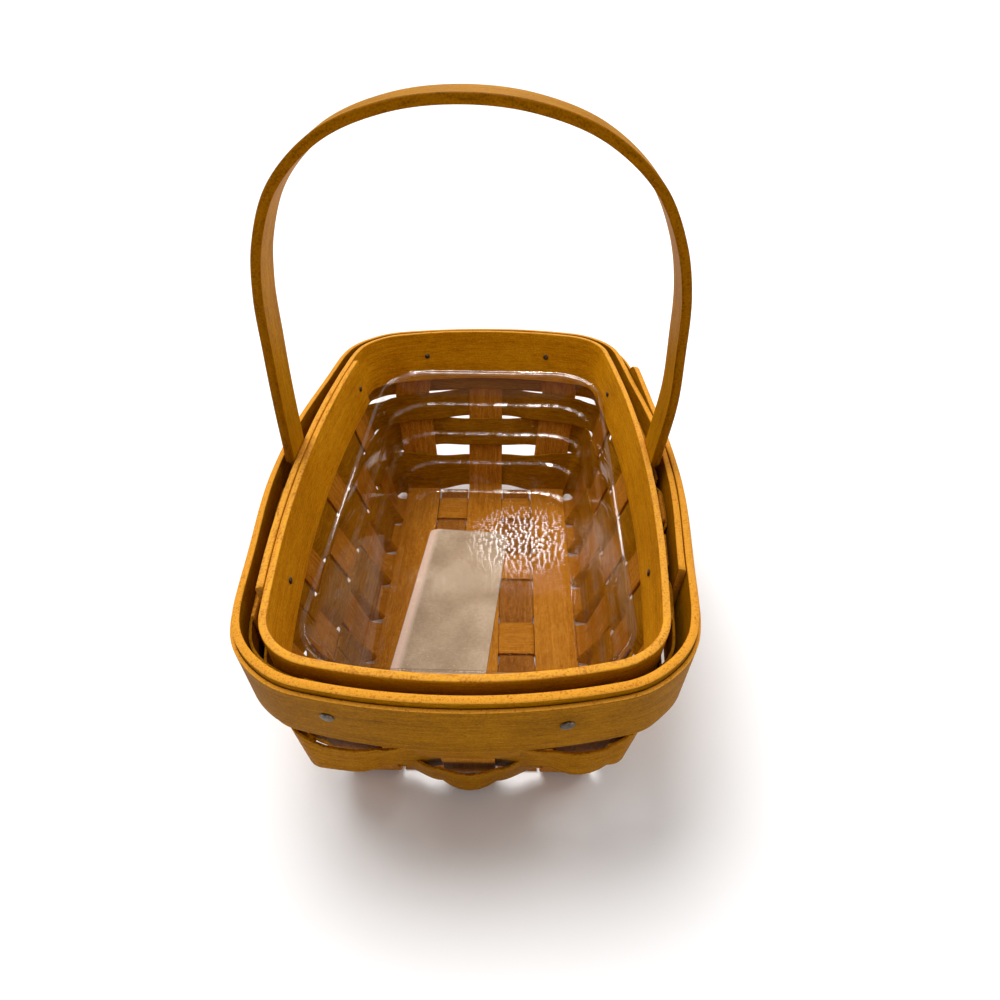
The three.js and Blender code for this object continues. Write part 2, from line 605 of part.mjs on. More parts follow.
// Handle: thin feet between the bands, legs that lean out with the wall, and a round arch.
function handle() {
  const legAt = (right) => {
    const s = right ? 0 : 2 * QUARTER;
    const out = (right ? 0 : PLY_STEP) - BAND_OFFSET + BAND_THICK / 2 + PLY_GAP;
    return { s, inner: out };
  };
  const foot = (right, z, thick) => {
    const { s, inner } = legAt(right);
    return topPoint(s, z, inner + thick / 2);
  };
  const footLow = BAND_BOTTOM + EDGE_GAP;
  const step = RIM_HEIGHT - 1.4;
  const rightFoot = foot(true, RIM_HEIGHT, HANDLE_THICK);
  const leftFoot = foot(false, RIM_HEIGHT, HANDLE_THICK);
  const centre = (rightFoot.x + leftFoot.x) / 2;
  const top = new THREE.Vector3(centre + HANDLE_DRIFT, 0, RIM_HEIGHT + HANDLE_RISE);
  const shape = [
    [1, 0.20],
    [1, 0.36],
    [0.992, 0.52],
    [0.945, 0.66],
    [0.83, 0.80],
    [0.60, 0.918],
    [0.31, 0.981],
  ];
  const archPoint = (x, z) => {
    const middle = centre * (1 - Math.abs(x)) + HANDLE_DRIFT * clamp01(2 * z - 0.9);
    return new THREE.Vector3(middle + HANDLE_SPREAD * x, 0, RIM_HEIGHT + HANDLE_RISE * z);
  };
  const right = shape.map(([x, z]) => archPoint(x, z));
  const left = shape.map(([x, z]) => archPoint(-x, z)).reverse();
  const curve = new THREE.CatmullRomCurve3(
    [rightFoot, ...right, top, ...left, leftFoot], false, "centripetal");
  const thickAt = (z) => (z < step ? TONGUE_THICK : HANDLE_THICK);
  const frames = [];
  const depth = new THREE.Vector3(0, 1, 0);
  const legFrames = (isRight) =>
    [footLow, footLow + (step - footLow) / 2, step - 0.01, step + 0.6].map((z) => {
      const thick = thickAt(z);
      const at = foot(isRight, z, thick);
      return { at, thick };
    });
  const arch = curve.getPoints(64).map((at) => ({ at, thick: HANDLE_THICK }));
  frames.push(...legFrames(true), ...arch, ...legFrames(false).reverse());
  const half = HANDLE_WIDTH / 2;
  return skin(frames.map(({ at, thick }, i) => {
    const before = arch[Math.max(0, i - 5)] ?? arch[arch.length - 2];
    const after = arch[Math.min(arch.length - 1, i - 3)] ?? arch[1];
    const onRight = i < 4;
    const onLeft = i >= 4 + arch.length;
    const footRun = new THREE.Vector3(Math.sin(SIDE_LEAN), 0, Math.cos(SIDE_LEAN));
    if (onLeft) footRun.set(Math.sin(SIDE_LEAN), 0, -Math.cos(SIDE_LEAN));
    const run = onRight || onLeft ? footRun : after.at.clone().sub(before.at).normalize();
    const n = run.clone().cross(depth).normalize();
    const e = Math.min(HANDLE_EDGE, thick / 3);
    const corners = [
      [half, thick / 2 - e], [half - e, thick / 2], [-half + e, thick / 2], [-half, thick / 2 - e],
      [-half, -thick / 2 + e], [-half + e, -thick / 2], [half - e, -thick / 2], [half, -thick / 2 + e],
    ];
    return corners.map(([w, t]) => at.clone().addScaledVector(depth, w).addScaledVector(n, t));
  }));
}

// Tacks hold the bands: a round head outside, a shank through every ply, a flattened tip inside.
const outerLong = QUARTER - endStop(longPlaces[LONG_COUNT - 1]);
const outerCross = sideStop(crossPlaces[CROSS_COUNT - 1]);
const nextCross = sideStop(crossPlaces[CROSS_COUNT - 2]);
const tackPlaces = [
  ["tack_near_left", 3 * QUARTER - outerLong + NEAR_LEFT_TACK, NEAR_TACK_DEPTHS[0]],
  ["tack_near_right", 3 * QUARTER + outerLong - NEAR_RIGHT_TACK, NEAR_TACK_DEPTHS[1]],
  ["tack_far_right", QUARTER - outerLong + FAR_RIGHT_TACK, TACK_DEPTH],
  ["tack_far_left", QUARTER + outerLong - FAR_LEFT_TACK, TACK_DEPTH],
  ["tack_right_far", outerCross - RIGHT_FAR_TACK, TACK_DEPTH],
  ["tack_right_near", RING - nextCross + RIGHT_NEAR_TACK, TACK_DEPTH],
  ["tack_left_far", 2 * QUARTER - outerCross + LEFT_FAR_TACK, TACK_DEPTH],
  ["tack_left_near", 2 * QUARTER + outerCross - LEFT_NEAR_TACK, TACK_DEPTH],
];

function tackSeat(s, depth) {
  const z = RIM_HEIGHT - depth;
  const slope = topPoint(s, z + 1).sub(topPoint(s, z - 1)).normalize();
  const run = topPoint(s + 1, z).sub(topPoint(s - 1, z)).normalize();
  const outward = run.cross(slope).normalize();
  const origin = topPoint(s, z);
  const inside = -BAND_OFFSET - BAND_THICK / 2;
  const outside = TRIM_OFFSET + TRIM_THICK / 2 + tongueShift(s) + plyShift(s);
  return { origin, outward, inside, outside };
}

const turnTo = (geometry, origin, outward) => {
  const turn = new THREE.Quaternion().setFromUnitVectors(new THREE.Vector3(0, 1, 0), outward);
  return geometry.applyQuaternion(turn).translate(origin.x, origin.y, origin.z);
};

function tack(s, depth) {
  const { origin, outward, inside, outside } = tackSeat(s, depth);
  const low = inside - TACK_SEAT_GAP - TACK_TIP_HEIGHT;
  const high = outside + TACK_SEAT_GAP;
  const profile = [
    [0, low], [TACK_TIP_RADIUS * 0.8, low], [TACK_TIP_RADIUS, low + TACK_TIP_HEIGHT],
    [TACK_SHANK_RADIUS, low + TACK_TIP_HEIGHT], [TACK_SHANK_RADIUS, high],
    [TACK_HEAD_RADIUS, high], [TACK_HEAD_RADIUS * 0.86, high + TACK_HEAD_HEIGHT * 0.6],
    [TACK_HEAD_RADIUS * 0.45, high + TACK_HEAD_HEIGHT], [0, high + TACK_HEAD_HEIGHT],
  ].map(([r, y]) => new THREE.Vector2(r, y));
  return turnTo(new THREE.LatheGeometry(profile, 10), origin, outward);
}

function toSolid(geometry) {
  const bare = geometry.clone();
  for (const name of Object.keys(bare.attributes)) if (name !== "position") bare.deleteAttribute(name);
  const merged = mergeVertices(bare, 1e-4);
  return new wasm.Manifold(new wasm.Mesh({
    numProp: 3,
    vertProperties: new Float32Array(merged.attributes.position.array),
    triVerts: new Uint32Array(merged.index.array),
  }));
}

function fromSolid(solid) {
  const mesh = solid.getMesh();
  const geometry = new THREE.BufferGeometry();
  geometry.setAttribute("position", new THREE.BufferAttribute(new Float32Array(mesh.vertProperties), 3));
  geometry.setIndex(new THREE.BufferAttribute(new Uint32Array(mesh.triVerts), 1));
  return geometry;
}

// Bores every tack's hole through a ply.
function bored(geometry) {
  geometry.computeBoundingBox();
  let solid = toSolid(geometry);
  for (const [, s, depth] of tackPlaces) {
    const { origin, outward, inside, outside } = tackSeat(s, depth);
    const length = outside - inside + 2;
    const radius = TACK_SHANK_RADIUS + TACK_BORE_GAP;
    const drill = new THREE.CylinderGeometry(radius, radius, length, 8);
    drill.translate(0, (outside + inside) / 2, 0);
    turnTo(drill, origin, outward);
    drill.computeBoundingBox();
    if (!drill.boundingBox.intersectsBox(geometry.boundingBox)) continue;
    solid = solid.subtract(toSolid(drill));
  }
  return fromSolid(solid);
}

// The liner's outline at a height: a rounded rectangle with eight points round each corner.
function linerRing(halfWidth, halfLength, radius, z) {
  const points = [];
  const turns = 7;
  for (const [sx, sy, start] of [[1, 1, 0], [-1, 1, 1], [-1, -1, 2], [1, -1, 3]]) {
    for (let i = 0; i <= turns; i += 1) {
      const angle = ((start + i / turns) * Math.PI) / 2;
      points.push(new THREE.Vector3(
        sx * (halfWidth - radius) + radius * Math.cos(angle),
        sy * (halfLength - radius) + radius * Math.sin(angle), z));
    }
  }
  return points;
}

// The liner: a stepped wall with a small lip, one skin outside and one inside.
function liner() {
  const ring = ([inset, drop, z]) => linerRing(
    LINER_HALF_WIDTH - inset - LINER_SIDE_TAPER * drop,
    LINER_HALF_LENGTH - inset - LINER_END_TAPER * drop,
    LINER_CORNER_RADIUS - 0.6 * inset - 0.5 * LINER_SIDE_TAPER * drop, z);
  const steps = [...Array(LINER_STEPS).keys()].map((i) => LINER_FIRST_STEP + i * LINER_STEP_PITCH);
  const insetAt = (z) => LINER_LIP + steps.filter((step) => z < step).length * LINER_LEDGE;
  const stop = (inset, z) => [inset, LINER_HEIGHT - z, z];
  const profile = (wall, floor, lip) => {
    const low = insetAt(0) + wall;
    const stops = [
      stop(low + LINER_BASE_ROUND, floor), stop(low + 0.7, floor + 0.7), stop(low, floor + LINER_BASE_ROUND)];
    for (const step of steps) {
      stops.push(stop(insetAt(step - 0.1) + wall, step), stop(insetAt(step + 0.1) + wall, step + 0.5));
    }
    stops.push(...lip);
    return stops;
  };
  const underLip = LINER_HEIGHT - LINER_LIP_DEPTH;
  const outside = profile(0, 0, [
    stop(LINER_LIP, underLip), stop(0, underLip + 0.3), stop(0, LINER_HEIGHT - 0.3), stop(0.3, LINER_HEIGHT)]);
  const inside = profile(LINER_WALL, LINER_WALL, [stop(LINER_LIP + LINER_WALL, LINER_HEIGHT)]);
  return skin([...outside, ...inside.reverse()].map(ring));
}

const part = new THREE.Group();
const add = (name, geometry, material, parent = part) => {
  const mesh = new THREE.Mesh(geometry, material);
  mesh.name = name;
  parent.add(mesh);
  return mesh;
};

const longNames = ["long_splint_left", "long_splint_middle", "long_splint_right"];
longPlaces.forEach((x, i) => add(longNames[i] ?? `long_splint_${i + 1}`, bored(longSplint(x)), materials.splint));
crossPlaces.forEach((y, i) => add(`cross_splint_${i + 1}`, bored(crossSplint(i, y)), materials.splint));
fillerPlaces.forEach((x, i) => add(`floor_filler_${i + 1}`, filler(x), materials.filler));

const rows = [
  [FIRST_ROW_BOTTOM, ROW_HEIGHT, 0, FIRST_ROW_BOW, FIRST_ROW_KICK],
  [SECOND_ROW_BOTTOM, ROW_HEIGHT, CORNER_SAG, SECOND_ROW_BOW, SECOND_ROW_KICK],
  [THIRD_ROW_BOTTOM, ROW_HEIGHT, CORNER_SAG, 0, 0],
  [FOURTH_ROW_BOTTOM, FOURTH_ROW_WIDTH * COS_LEAN, 0, 0, 0],
  [FIFTH_ROW_BOTTOM, FIFTH_ROW_WIDTH * COS_LEAN, 0, 0, 0],
];
rows.forEach(([bottom, height, sag, bow, kick], i) =>
  add(`weaver_row_${i + 1}`, bored(weaver(bottom, height, i, sag, bow, kick)), materials.weaver));

add("inner_band", bored(innerBand()), materials.band);
add("outer_band", bored(outerBand()), materials.band);
add("trim_band", bored(trimBand()), materials.band);
add("handle", handle(), materials.handle);
for (const [name, s, depth] of tackPlaces) add(name, tack(s, depth), materials.tack);

const slipPlace = new THREE.Group();
slipPlace.position.set(SLIP_X, SLIP_Y, FLOOR_TOP + PLY_GAP + SLIP_THICK / 2);
slipPlace.rotation.z = THREE.MathUtils.degToRad(SLIP_TURN);
add("paper_slip", new THREE.BoxGeometry(SLIP_WIDTH, SLIP_LENGTH, SLIP_THICK), materials.paper, slipPlace);

const linerPlace = new THREE.Group();
linerPlace.position.set(LINER_SHIFT_X, 0, FLOOR_TOP + PLY_GAP + SLIP_THICK + LINER_SEAT_GAP);
linerPlace.rotation.z = THREE.MathUtils.degToRad(LINER_TURN);
add("liner", liner(), materials.liner, linerPlace);
part.add(slipPlace, linerPlace);

export default part;
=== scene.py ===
import math

import bmesh
import bpy
from mathutils import Matrix, Vector, noise


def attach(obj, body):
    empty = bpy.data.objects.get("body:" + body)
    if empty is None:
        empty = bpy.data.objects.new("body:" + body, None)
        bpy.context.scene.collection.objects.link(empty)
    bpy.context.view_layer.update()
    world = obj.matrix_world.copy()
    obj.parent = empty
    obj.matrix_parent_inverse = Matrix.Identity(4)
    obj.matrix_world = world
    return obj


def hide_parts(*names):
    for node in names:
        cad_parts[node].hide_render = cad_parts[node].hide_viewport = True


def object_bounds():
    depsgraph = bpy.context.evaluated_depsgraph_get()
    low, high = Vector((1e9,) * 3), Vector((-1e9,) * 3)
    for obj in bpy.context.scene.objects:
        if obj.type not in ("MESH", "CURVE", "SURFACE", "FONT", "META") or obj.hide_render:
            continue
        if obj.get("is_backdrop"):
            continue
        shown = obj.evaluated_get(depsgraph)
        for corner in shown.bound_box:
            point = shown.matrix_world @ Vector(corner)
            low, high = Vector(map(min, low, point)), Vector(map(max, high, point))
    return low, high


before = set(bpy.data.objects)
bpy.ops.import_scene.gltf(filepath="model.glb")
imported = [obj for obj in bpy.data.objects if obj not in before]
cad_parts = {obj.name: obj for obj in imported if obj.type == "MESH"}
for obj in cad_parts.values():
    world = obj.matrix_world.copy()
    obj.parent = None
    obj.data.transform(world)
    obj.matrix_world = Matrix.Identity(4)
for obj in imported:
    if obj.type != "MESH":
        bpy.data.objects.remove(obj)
cad_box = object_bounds()
MM = 0.001

# Sizes in millimetres. Splints and the fillers between them
SPLINT_THICK = 0.8
SPLINT_EDGE = 0.25
UPRIGHT_WIDTH = 15.3
UPRIGHT_DROP = 6.2
LONG_SPLINTS = 3
LONG_PITCH = 28.5
CROSS_SPLINTS = 7
CROSS_PITCH = 20
FOLD_LEG = 3.2
FOLD_RINGS = 8
UPRIGHT_RINGS = 34
FLOOR_PITCH = 1.6
FILLER_WIDTH = 12.8
FILLER_NECK = 12.2
FILLER_FAR = 75.8
FILLER_NEAR = 74.5
FILLER_PITCH = 1.8
PLY_GAP = 0.15
EDGE_GAP = 0.3

# Outline of the rim, of the knee under the bands and of the floor
RIM_HEIGHT = 70.7
RIM_HALF_WIDTH = 55.2
RIM_HALF_LENGTH = 97.3
RIM_SIDE_RADIUS = 570
RIM_END_RADIUS = 152
RIM_CORNER_RADIUS = 18
END_FLARE = 0.235
SIDE_FLARE = 0.125
KNEE_CORNER_RADIUS = 10
KNEE_HEIGHT = 44.2
BASE_HALF_WIDTH = 40.5
BASE_HALF_LENGTH = 75.5
BASE_CORNER_RADIUS = 3.6

# Weaving rows
FOURTH_ROW_WIDTH = 12.2
FIFTH_ROW_WIDTH = 6.6
FIRST_ROW_LIFT = 4.58
LOW_ROW_GAP = 5.1
UPPER_ROW_GAP = 0.7
LOWEST_EDGE = 0.7
CORNER_SAG = 1.5
FIRST_ROW_BOW = 2.8
SECOND_ROW_BOW = 2.4
FIRST_ROW_KICK = 2.2
SECOND_ROW_KICK = 2.6
FIRST_ROW_TUCK = 5
CORNER_COVER = 6.5
CORNER_BULGE = 0.1
CORNER_KICK = 0.2
ROW_RIPPLE = 0.22
SEAM_UPRIGHT = 12
SPREAD_FADE = 8
FAR_FADE = 10
MIDDLE_HALF = 11
NEAR_LIFT_START = 10
NEAR_LIFT_FADE = 5
COVER_LEAD = 4
COVER_FADE = 7
BOW_FALL = 0.6
RIGHT_BOW_FALL = 0.45
CORNER_GAP = 20

# Rim bands
BAND_THICK = 2.1
BAND_WIDTH = 21
BAND_EDGE = 0.42
OUTER_BAND_WIDTH = 27.6
TRIM_THICK = 1
TRIM_WIDTH = 19.9
TRIM_EDGE = 0.3
OUTER_DROP = 1.3
TRIM_DROP = 4.1
INNER_START = 67.9
INNER_END = 69
OUTER_START = 58.4
OUTER_END = 65.6
PLY_FLAT = 71
PLY_RAMP = 25
FREE_END_RADIUS = 6
FREE_END_RUN = 45
FREE_END_LIFT = 2.4
FREE_END_GAP = 0.8
FREE_END_RINGS = (0.1, 0.4, 0.9, 1.6, 2.6, 4, FREE_END_RADIUS)
TRIM_SEAM = 30
BAND_PITCH = 2.2
BAND_RIPPLE = 0.12

# Handle, with its arch as shares of its half width and of its rise
HANDLE_WIDTH = 14.8
HANDLE_THICK = 2.9
HANDLE_EDGE = 0.75
HANDLE_RISE = 105.8
HANDLE_SPREAD = 61.8
HANDLE_DRIFT = -1.4
HANDLE_STEP = 1.4
HANDLE_SHAPE = (
    (1, 0.20), (1, 0.36), (0.992, 0.52), (0.945, 0.66), (0.83, 0.80), (0.60, 0.918), (0.31, 0.981))
ARCH_RINGS = 260
TONGUE_THICK = 1.6
TONGUE_FLAT = 11
TONGUE_RAMP = 47
TONGUE_RINGS = (0, 4, 9, 14)

# Tacks
TACK_DEPTH = 10.6
NEAR_TACK_DEPTHS = (11.6, 12.1)
TACK_HEAD_RADIUS = 1.9
TACK_HEAD_HEIGHT = 0.7
TACK_HEAD_RIM = 0.12
TACK_SHANK_RADIUS = 0.7
TACK_TIP_RADIUS = 1.1
TACK_TIP_HEIGHT = 0.45
TACK_SEAT_GAP = 0.2
TACK_SIDES = 20
NEAR_LEFT_TACK = -0.1
NEAR_RIGHT_TACK = 6.1
FAR_LEFT_TACK = 4.1
FAR_RIGHT_TACK = 3.1
LEFT_FAR_TACK = 3.9
LEFT_NEAR_TACK = 10.8
RIGHT_FAR_TACK = 6.7
RIGHT_NEAR_TACK = -6.2

# Liner
LINER_HALF_WIDTH = 46.5
LINER_HALF_LENGTH = 86.6
LINER_CORNER_RADIUS = 20.3
LINER_HEIGHT = 55.3
LINER_WALL = 1
LINER_SIDE_TAPER = 0.13
LINER_END_TAPER = 0.29
LINER_STEPS = 4
LINER_STEP_PITCH = 12.45
LINER_FIRST_STEP = 3.6
LINER_LEDGE = 0.9
LINER_LIP = 1.1
LINER_LIP_DEPTH = 1.6
LINER_BASE_ROUND = 3
LINER_SEAT_GAP = 0.3
LINER_SHIFT_X = 1.35
LINER_TURN = -1.2

# Paper slip
SLIP_WIDTH = 33.7
SLIP_LENGTH = 96
SLIP_THICK = 0.25
SLIP_X = -10.4
SLIP_Y = -5.4
SLIP_TURN = -5.3
SLIP_CORNER = 3
SLIP_HIGHLIGHT_WIDTH = 3.4
SLIP_RINGS = 80

# Measures that follow from the sizes
WEAVE_SLACK = UPRIGHT_WIDTH * UPRIGHT_WIDTH / (16 * RIM_END_RADIUS)
WEAVE_SWING = SPLINT_THICK + PLY_GAP + WEAVE_SLACK
WALL_HALF = WEAVE_SWING + SPLINT_THICK / 2
BAND_OFFSET = WALL_HALF + PLY_GAP + BAND_THICK / 2
TRIM_OFFSET = BAND_OFFSET + BAND_THICK / 2 + PLY_GAP + TRIM_THICK / 2
PLY_STEP = BAND_THICK + PLY_GAP
TONGUE_STEP = TONGUE_THICK + PLY_GAP
LEAN = math.atan(END_FLARE)
SIDE_LEAN = math.atan(SIDE_FLARE)
COS_LEAN = math.cos(LEAN)
SIN_LEAN = math.sin(LEAN)
BAND_BOTTOM = RIM_HEIGHT - BAND_WIDTH * COS_LEAN
CROSS_LEVEL = SPLINT_THICK / 2
LONG_LEVEL = CROSS_LEVEL + SPLINT_THICK + PLY_GAP
FLOOR_TOP = LONG_LEVEL + SPLINT_THICK / 2
RIM_GROW = (BAND_THICK / 2 + BAND_OFFSET) / COS_LEAN
BAND_RISE = RIM_HEIGHT - KNEE_HEIGHT
KNEE_END_GROW = RIM_GROW - END_FLARE * BAND_RISE
KNEE_SIDE_GROW = RIM_GROW - SIDE_FLARE * BAND_RISE
LOWER_LEAN = math.atan((RIM_HALF_LENGTH + KNEE_END_GROW - BASE_HALF_LENGTH) / KNEE_HEIGHT)
ROW_HEIGHT = (KNEE_HEIGHT - UPPER_ROW_GAP - EDGE_GAP - LOW_ROW_GAP - FIRST_ROW_LIFT) / 3
WEAVER_WIDTH = ROW_HEIGHT / math.cos(LOWER_LEAN)
SECOND_ROW_BOTTOM = FIRST_ROW_LIFT + ROW_HEIGHT + LOW_ROW_GAP
THIRD_ROW_BOTTOM = SECOND_ROW_BOTTOM + ROW_HEIGHT + EDGE_GAP
FOURTH_ROW_BOTTOM = KNEE_HEIGHT + EDGE_GAP
FIFTH_ROW_BOTTOM = FOURTH_ROW_BOTTOM + FOURTH_ROW_WIDTH * COS_LEAN + EDGE_GAP
SHIFT_LOW = FIRST_ROW_LIFT + ROW_HEIGHT + EDGE_GAP
LINER_REST = FLOOR_TOP + PLY_GAP + SLIP_THICK + LINER_SEAT_GAP

X_AXIS, Y_AXIS = Vector((1, 0, 0)), Vector((0, 1, 0))


def clamp01(t):
    return min(1.0, max(0.0, t))


def ease(t):
    return clamp01(t) ** 2 * (3 - 2 * clamp01(t))


# The wall's surface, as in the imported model. A place on it is a distance s round the basket,
# from the middle of the right side over the far end, a height z and a distance out of the wall

def arc_quarter(side_grow, end_grow, corner):
    side = RIM_SIDE_RADIUS + side_grow
    end = RIM_END_RADIUS + end_grow
    side_x = RIM_HALF_WIDTH - RIM_SIDE_RADIUS
    end_y = RIM_HALF_LENGTH - RIM_END_RADIUS
    to_side = side - corner
    to_end = end - corner
    apart = math.hypot(side_x, end_y)
    along = (to_side * to_side - to_end * to_end + apart * apart) / (2 * apart)
    across = math.sqrt(to_side * to_side - along * along)
    ux = -side_x / apart
    uy = end_y / apart
    corner_x = side_x + along * ux - across * uy
    corner_y = along * uy + across * ux
    side_angle = math.atan2(corner_y, corner_x - side_x)
    end_angle = math.atan2(corner_y - end_y, corner_x)
    arcs = (
        (side_x, 0, side, 0, side_angle),
        (corner_x, corner_y, corner, side_angle, end_angle),
        (0, end_y, end, end_angle, math.pi / 2),
    )
    lengths = [arc[2] * (arc[4] - arc[3]) for arc in arcs]

    def at(stretch, f):
        x, y, radius, start, stop = arcs[stretch]
        angle = start + (stop - start) * f
        nx, ny = math.cos(angle), math.sin(angle)
        return x + radius * nx, y + radius * ny, nx, ny

    return lengths, at


def base_at(stretch, f):
    r = BASE_CORNER_RADIUS
    cx = BASE_HALF_WIDTH - r
    cy = BASE_HALF_LENGTH - r
    if stretch == 0:
        return BASE_HALF_WIDTH, cy * f, 1, 0
    if stretch == 2:
        return cx * (1 - f), BASE_HALF_LENGTH, 0, 1
    angle = f * math.pi / 2
    return cx + r * math.cos(angle), cy + r * math.sin(angle), math.cos(angle), math.sin(angle)


rim_lengths, rim_at = arc_quarter(RIM_GROW, RIM_GROW, RIM_CORNER_RADIUS + RIM_GROW)
_, knee_at = arc_quarter(KNEE_SIDE_GROW, KNEE_END_GROW, KNEE_CORNER_RADIUS)
SIDE_RUN, CORNER_RUN, END_RUN = rim_lengths
QUARTER = SIDE_RUN + CORNER_RUN + END_RUN
RING = 4 * QUARTER
LEFT, NEAR = 2 * QUARTER, 3 * QUARTER


def between(upper, lower, s, h, z, rise, out):
    turn = s % RING
    quarter = int(turn // QUARTER) % 4
    local = turn - quarter * QUARTER
    if quarter % 2 == 1:
        local = QUARTER - local
    stretch, f = 0, local / SIDE_RUN
    if local > SIDE_RUN + CORNER_RUN:
        stretch, f = 2, (local - SIDE_RUN - CORNER_RUN) / END_RUN
    elif local > SIDE_RUN:
        stretch, f = 1, (local - SIDE_RUN) / CORNER_RUN
    tx, ty, tnx, tny = upper(stretch, f)
    bx, by, bnx, bny = lower(stretch, f)
    nx = bnx + (tnx - bnx) * h
    ny = bny + (tny - bny) * h
    size = math.hypot(nx, ny)
    slope = math.hypot(tx - bx, ty - by) / rise
    reach = out * math.hypot(1, slope) / size
    sx = -1 if quarter in (1, 2) else 1
    sy = -1 if quarter >= 2 else 1
    return Vector((sx * (bx + (tx - bx) * h + nx * reach), sy * (by + (ty - by) * h + ny * reach), z))


def top_point(s, z, out=0.0):
    return between(rim_at, knee_at, s, (z - KNEE_HEIGHT) / BAND_RISE, z, BAND_RISE, out)


def wall_point(s, z, out=0.0):
    if z >= KNEE_HEIGHT:
        return top_point(s, z, out)
    return between(knee_at, base_at, s, z / KNEE_HEIGHT, z, KNEE_HEIGHT, out)


def from_side(s):
    """Whether a place is on the left half, and how far it is from the middle of its long side."""
    turn = s % RING
    left = QUARTER < turn < NEAR
    middle = LEFT if left else RING if turn > QUARTER else 0
    return left, abs(turn - middle)


def ply_shift(s):
    return PLY_STEP * (1 - ease((from_side(s)[1] - PLY_FLAT) / PLY_RAMP))


def tongue_shift(s):
    return TONGUE_STEP * (1 - ease((from_side(s)[1] - TONGUE_FLAT) / TONGUE_RAMP))


def wall_middle(s, z, out=0.0):
    """The middle of the weave, which the lapped band and the handle's tongues push outwards."""
    fade = clamp01((z - SHIFT_LOW) / (KNEE_HEIGHT - SHIFT_LOW))
    ply = ply_shift(s) if from_side(s)[0] else 0
    return wall_point(s, z, fade * (ply + tongue_shift(s)) + out)


def apart(a, b):
    turn = (a - b) % RING
    return min(turn, RING - turn)


# Meshes: rings of points skinned into one closed strip, with UVs that run along the grain

def rounded(width, thick, radius, inner=(0.25, 0.5, 0.75)):
    """A strip's section, going round: distance across, distance out, 1 on an edge or 0 on a face."""
    w, t, r = width / 2, thick / 2, min(radius, thick / 2 - 0.01)
    margin = r + 0.45
    face = [-w + r, -w + margin] + [(f - 0.5) * width for f in inner] + [w - margin, w - r]
    arc = [(r * math.sin(math.pi / 8 * i), r * math.cos(math.pi / 8 * i)) for i in (1, 2, 3)]
    half = [(x, t, 0.0) for x in face] + [(w - r + a, t - r + b, 1.0) for a, b in arc]
    if thick - 2 * r > 0.5:
        half.append((w, 0, 1.0))
    half += [(w - r + b, -t + r - a, 1.0) for a, b in arc]
    return half + [(-x, -y, edge) for x, y, edge in half]


def skin(name, rings, section, material, body="basket", replaces=None, seed=0.0):
    sides = len(section)
    count = len(rings)
    faces = []
    for i in range(count - 1):
        for j in range(sides):
            a, b = i * sides + j, i * sides + (j + 1) % sides
            faces.append((a, b, b + sides, a + sides))
    faces.append(tuple(reversed(range(sides))))
    faces.append(tuple(range((count - 1) * sides, count * sides)))
    mesh = bpy.data.meshes.new(name)
    mesh.from_pydata([tuple(p * MM) for ring in rings for p in ring], [], faces)
    sampled = range(0, sides, 4)
    along = [0.0]
    for before, after in zip(rings, rings[1:]):
        run = sum((after[j] - before[j]).length for j in sampled)
        along.append(along[-1] + run / len(sampled))
    around = [0.0]
    for j in range(1, sides + 1):
        p, q = section[j % sides], section[j - 1]
        around.append(around[-1] + math.hypot(p[0] - q[0], p[1] - q[1]))
    u_shift, v_shift = 0.731 * seed, 0.37 * seed
    values = []
    for i in range(count - 1):
        for j in range(sides):
            for ii, jj in ((i, j), (i, j + 1), (i + 1, j + 1), (i + 1, j)):
                values += [along[ii] * MM + u_shift, around[jj] * MM + v_shift]
    for order in (reversed(range(sides)), range(sides)):
        for j in order:
            values += [section[j][1] * MM + u_shift, section[j][0] * MM + v_shift]
    mesh.uv_layers.new(name="grain").data.foreach_set("uv", values)
    edge = mesh.attributes.new("edge", "FLOAT", "POINT")
    edge.data.foreach_set("value", [point[2] for _ in rings for point in section])
    mesh.polygons.foreach_set("use_smooth", [True] * ((count - 1) * sides) + [False, False])
    mesh.validate()
    mesh.update()
    face_out(mesh)
    return place(name, mesh, material, body, replaces)


def face_out(mesh):
    bm = bmesh.new()
    bm.from_mesh(mesh)
    bmesh.ops.recalc_face_normals(bm, faces=bm.faces)
    bm.to_mesh(mesh)
    bm.free()


def place(name, mesh, material, body="basket", replaces=None):
    piece = bpy.data.objects.new(name, mesh)
    bpy.context.scene.collection.objects.link(piece)
    mesh.materials.append(material)
    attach(piece, body)
    if replaces:
        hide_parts(replaces)
    return piece


def wall_rings(stops, surface, section, ripple, seed):
    """Rings of a strip on the wall. Each stop is (s, out, low, high, how far its lower edge stands out)."""
    rings = []
    width = max(q[0] for q in section) - min(q[0] for q in section)
    for i, (s, out, low, high, kick) in enumerate(stops):
        before, after = stops[max(0, i - 1)], stops[min(len(stops) - 1, i + 1)]
        middle = (low + high) / 2
        step = (surface(s + 0.5, middle, out) - surface(s - 0.5, middle, out)).length
        turn = math.atan2(after[1] - before[1], (after[0] - before[0]) * step)
        lower = low + ripple * noise.noise((s * 0.05, seed * 7.1, 0.3))
        upper = high + ripple * noise.noise((s * 0.05, seed * 7.1, 4.7))
        ring = []
        for across, outward, _ in section:
            up_share = across / width + 0.5
            z = lower + (upper - lower) * up_share
            along = -outward * math.sin(turn) / step
            reach = out + kick * (1 - up_share) + outward * math.cos(turn)
            ring.append(surface(s + along, z - outward * SIN_LEAN, reach))
        rings.append(ring)
    return rings


def path_rings(path, section):
    """Rings square to a path of (point, across, width factor)."""
    rings = []
    for i, (at, across, share) in enumerate(path):
        run = (path[min(len(path) - 1, i + 1)][0] - path[max(0, i - 1)][0]).normalized()
        normal = run.cross(across).normalized()
        side = normal.cross(run).normalized()
        rings.append([at + side * (w * share) + normal * t for w, t, _ in section])
    return rings


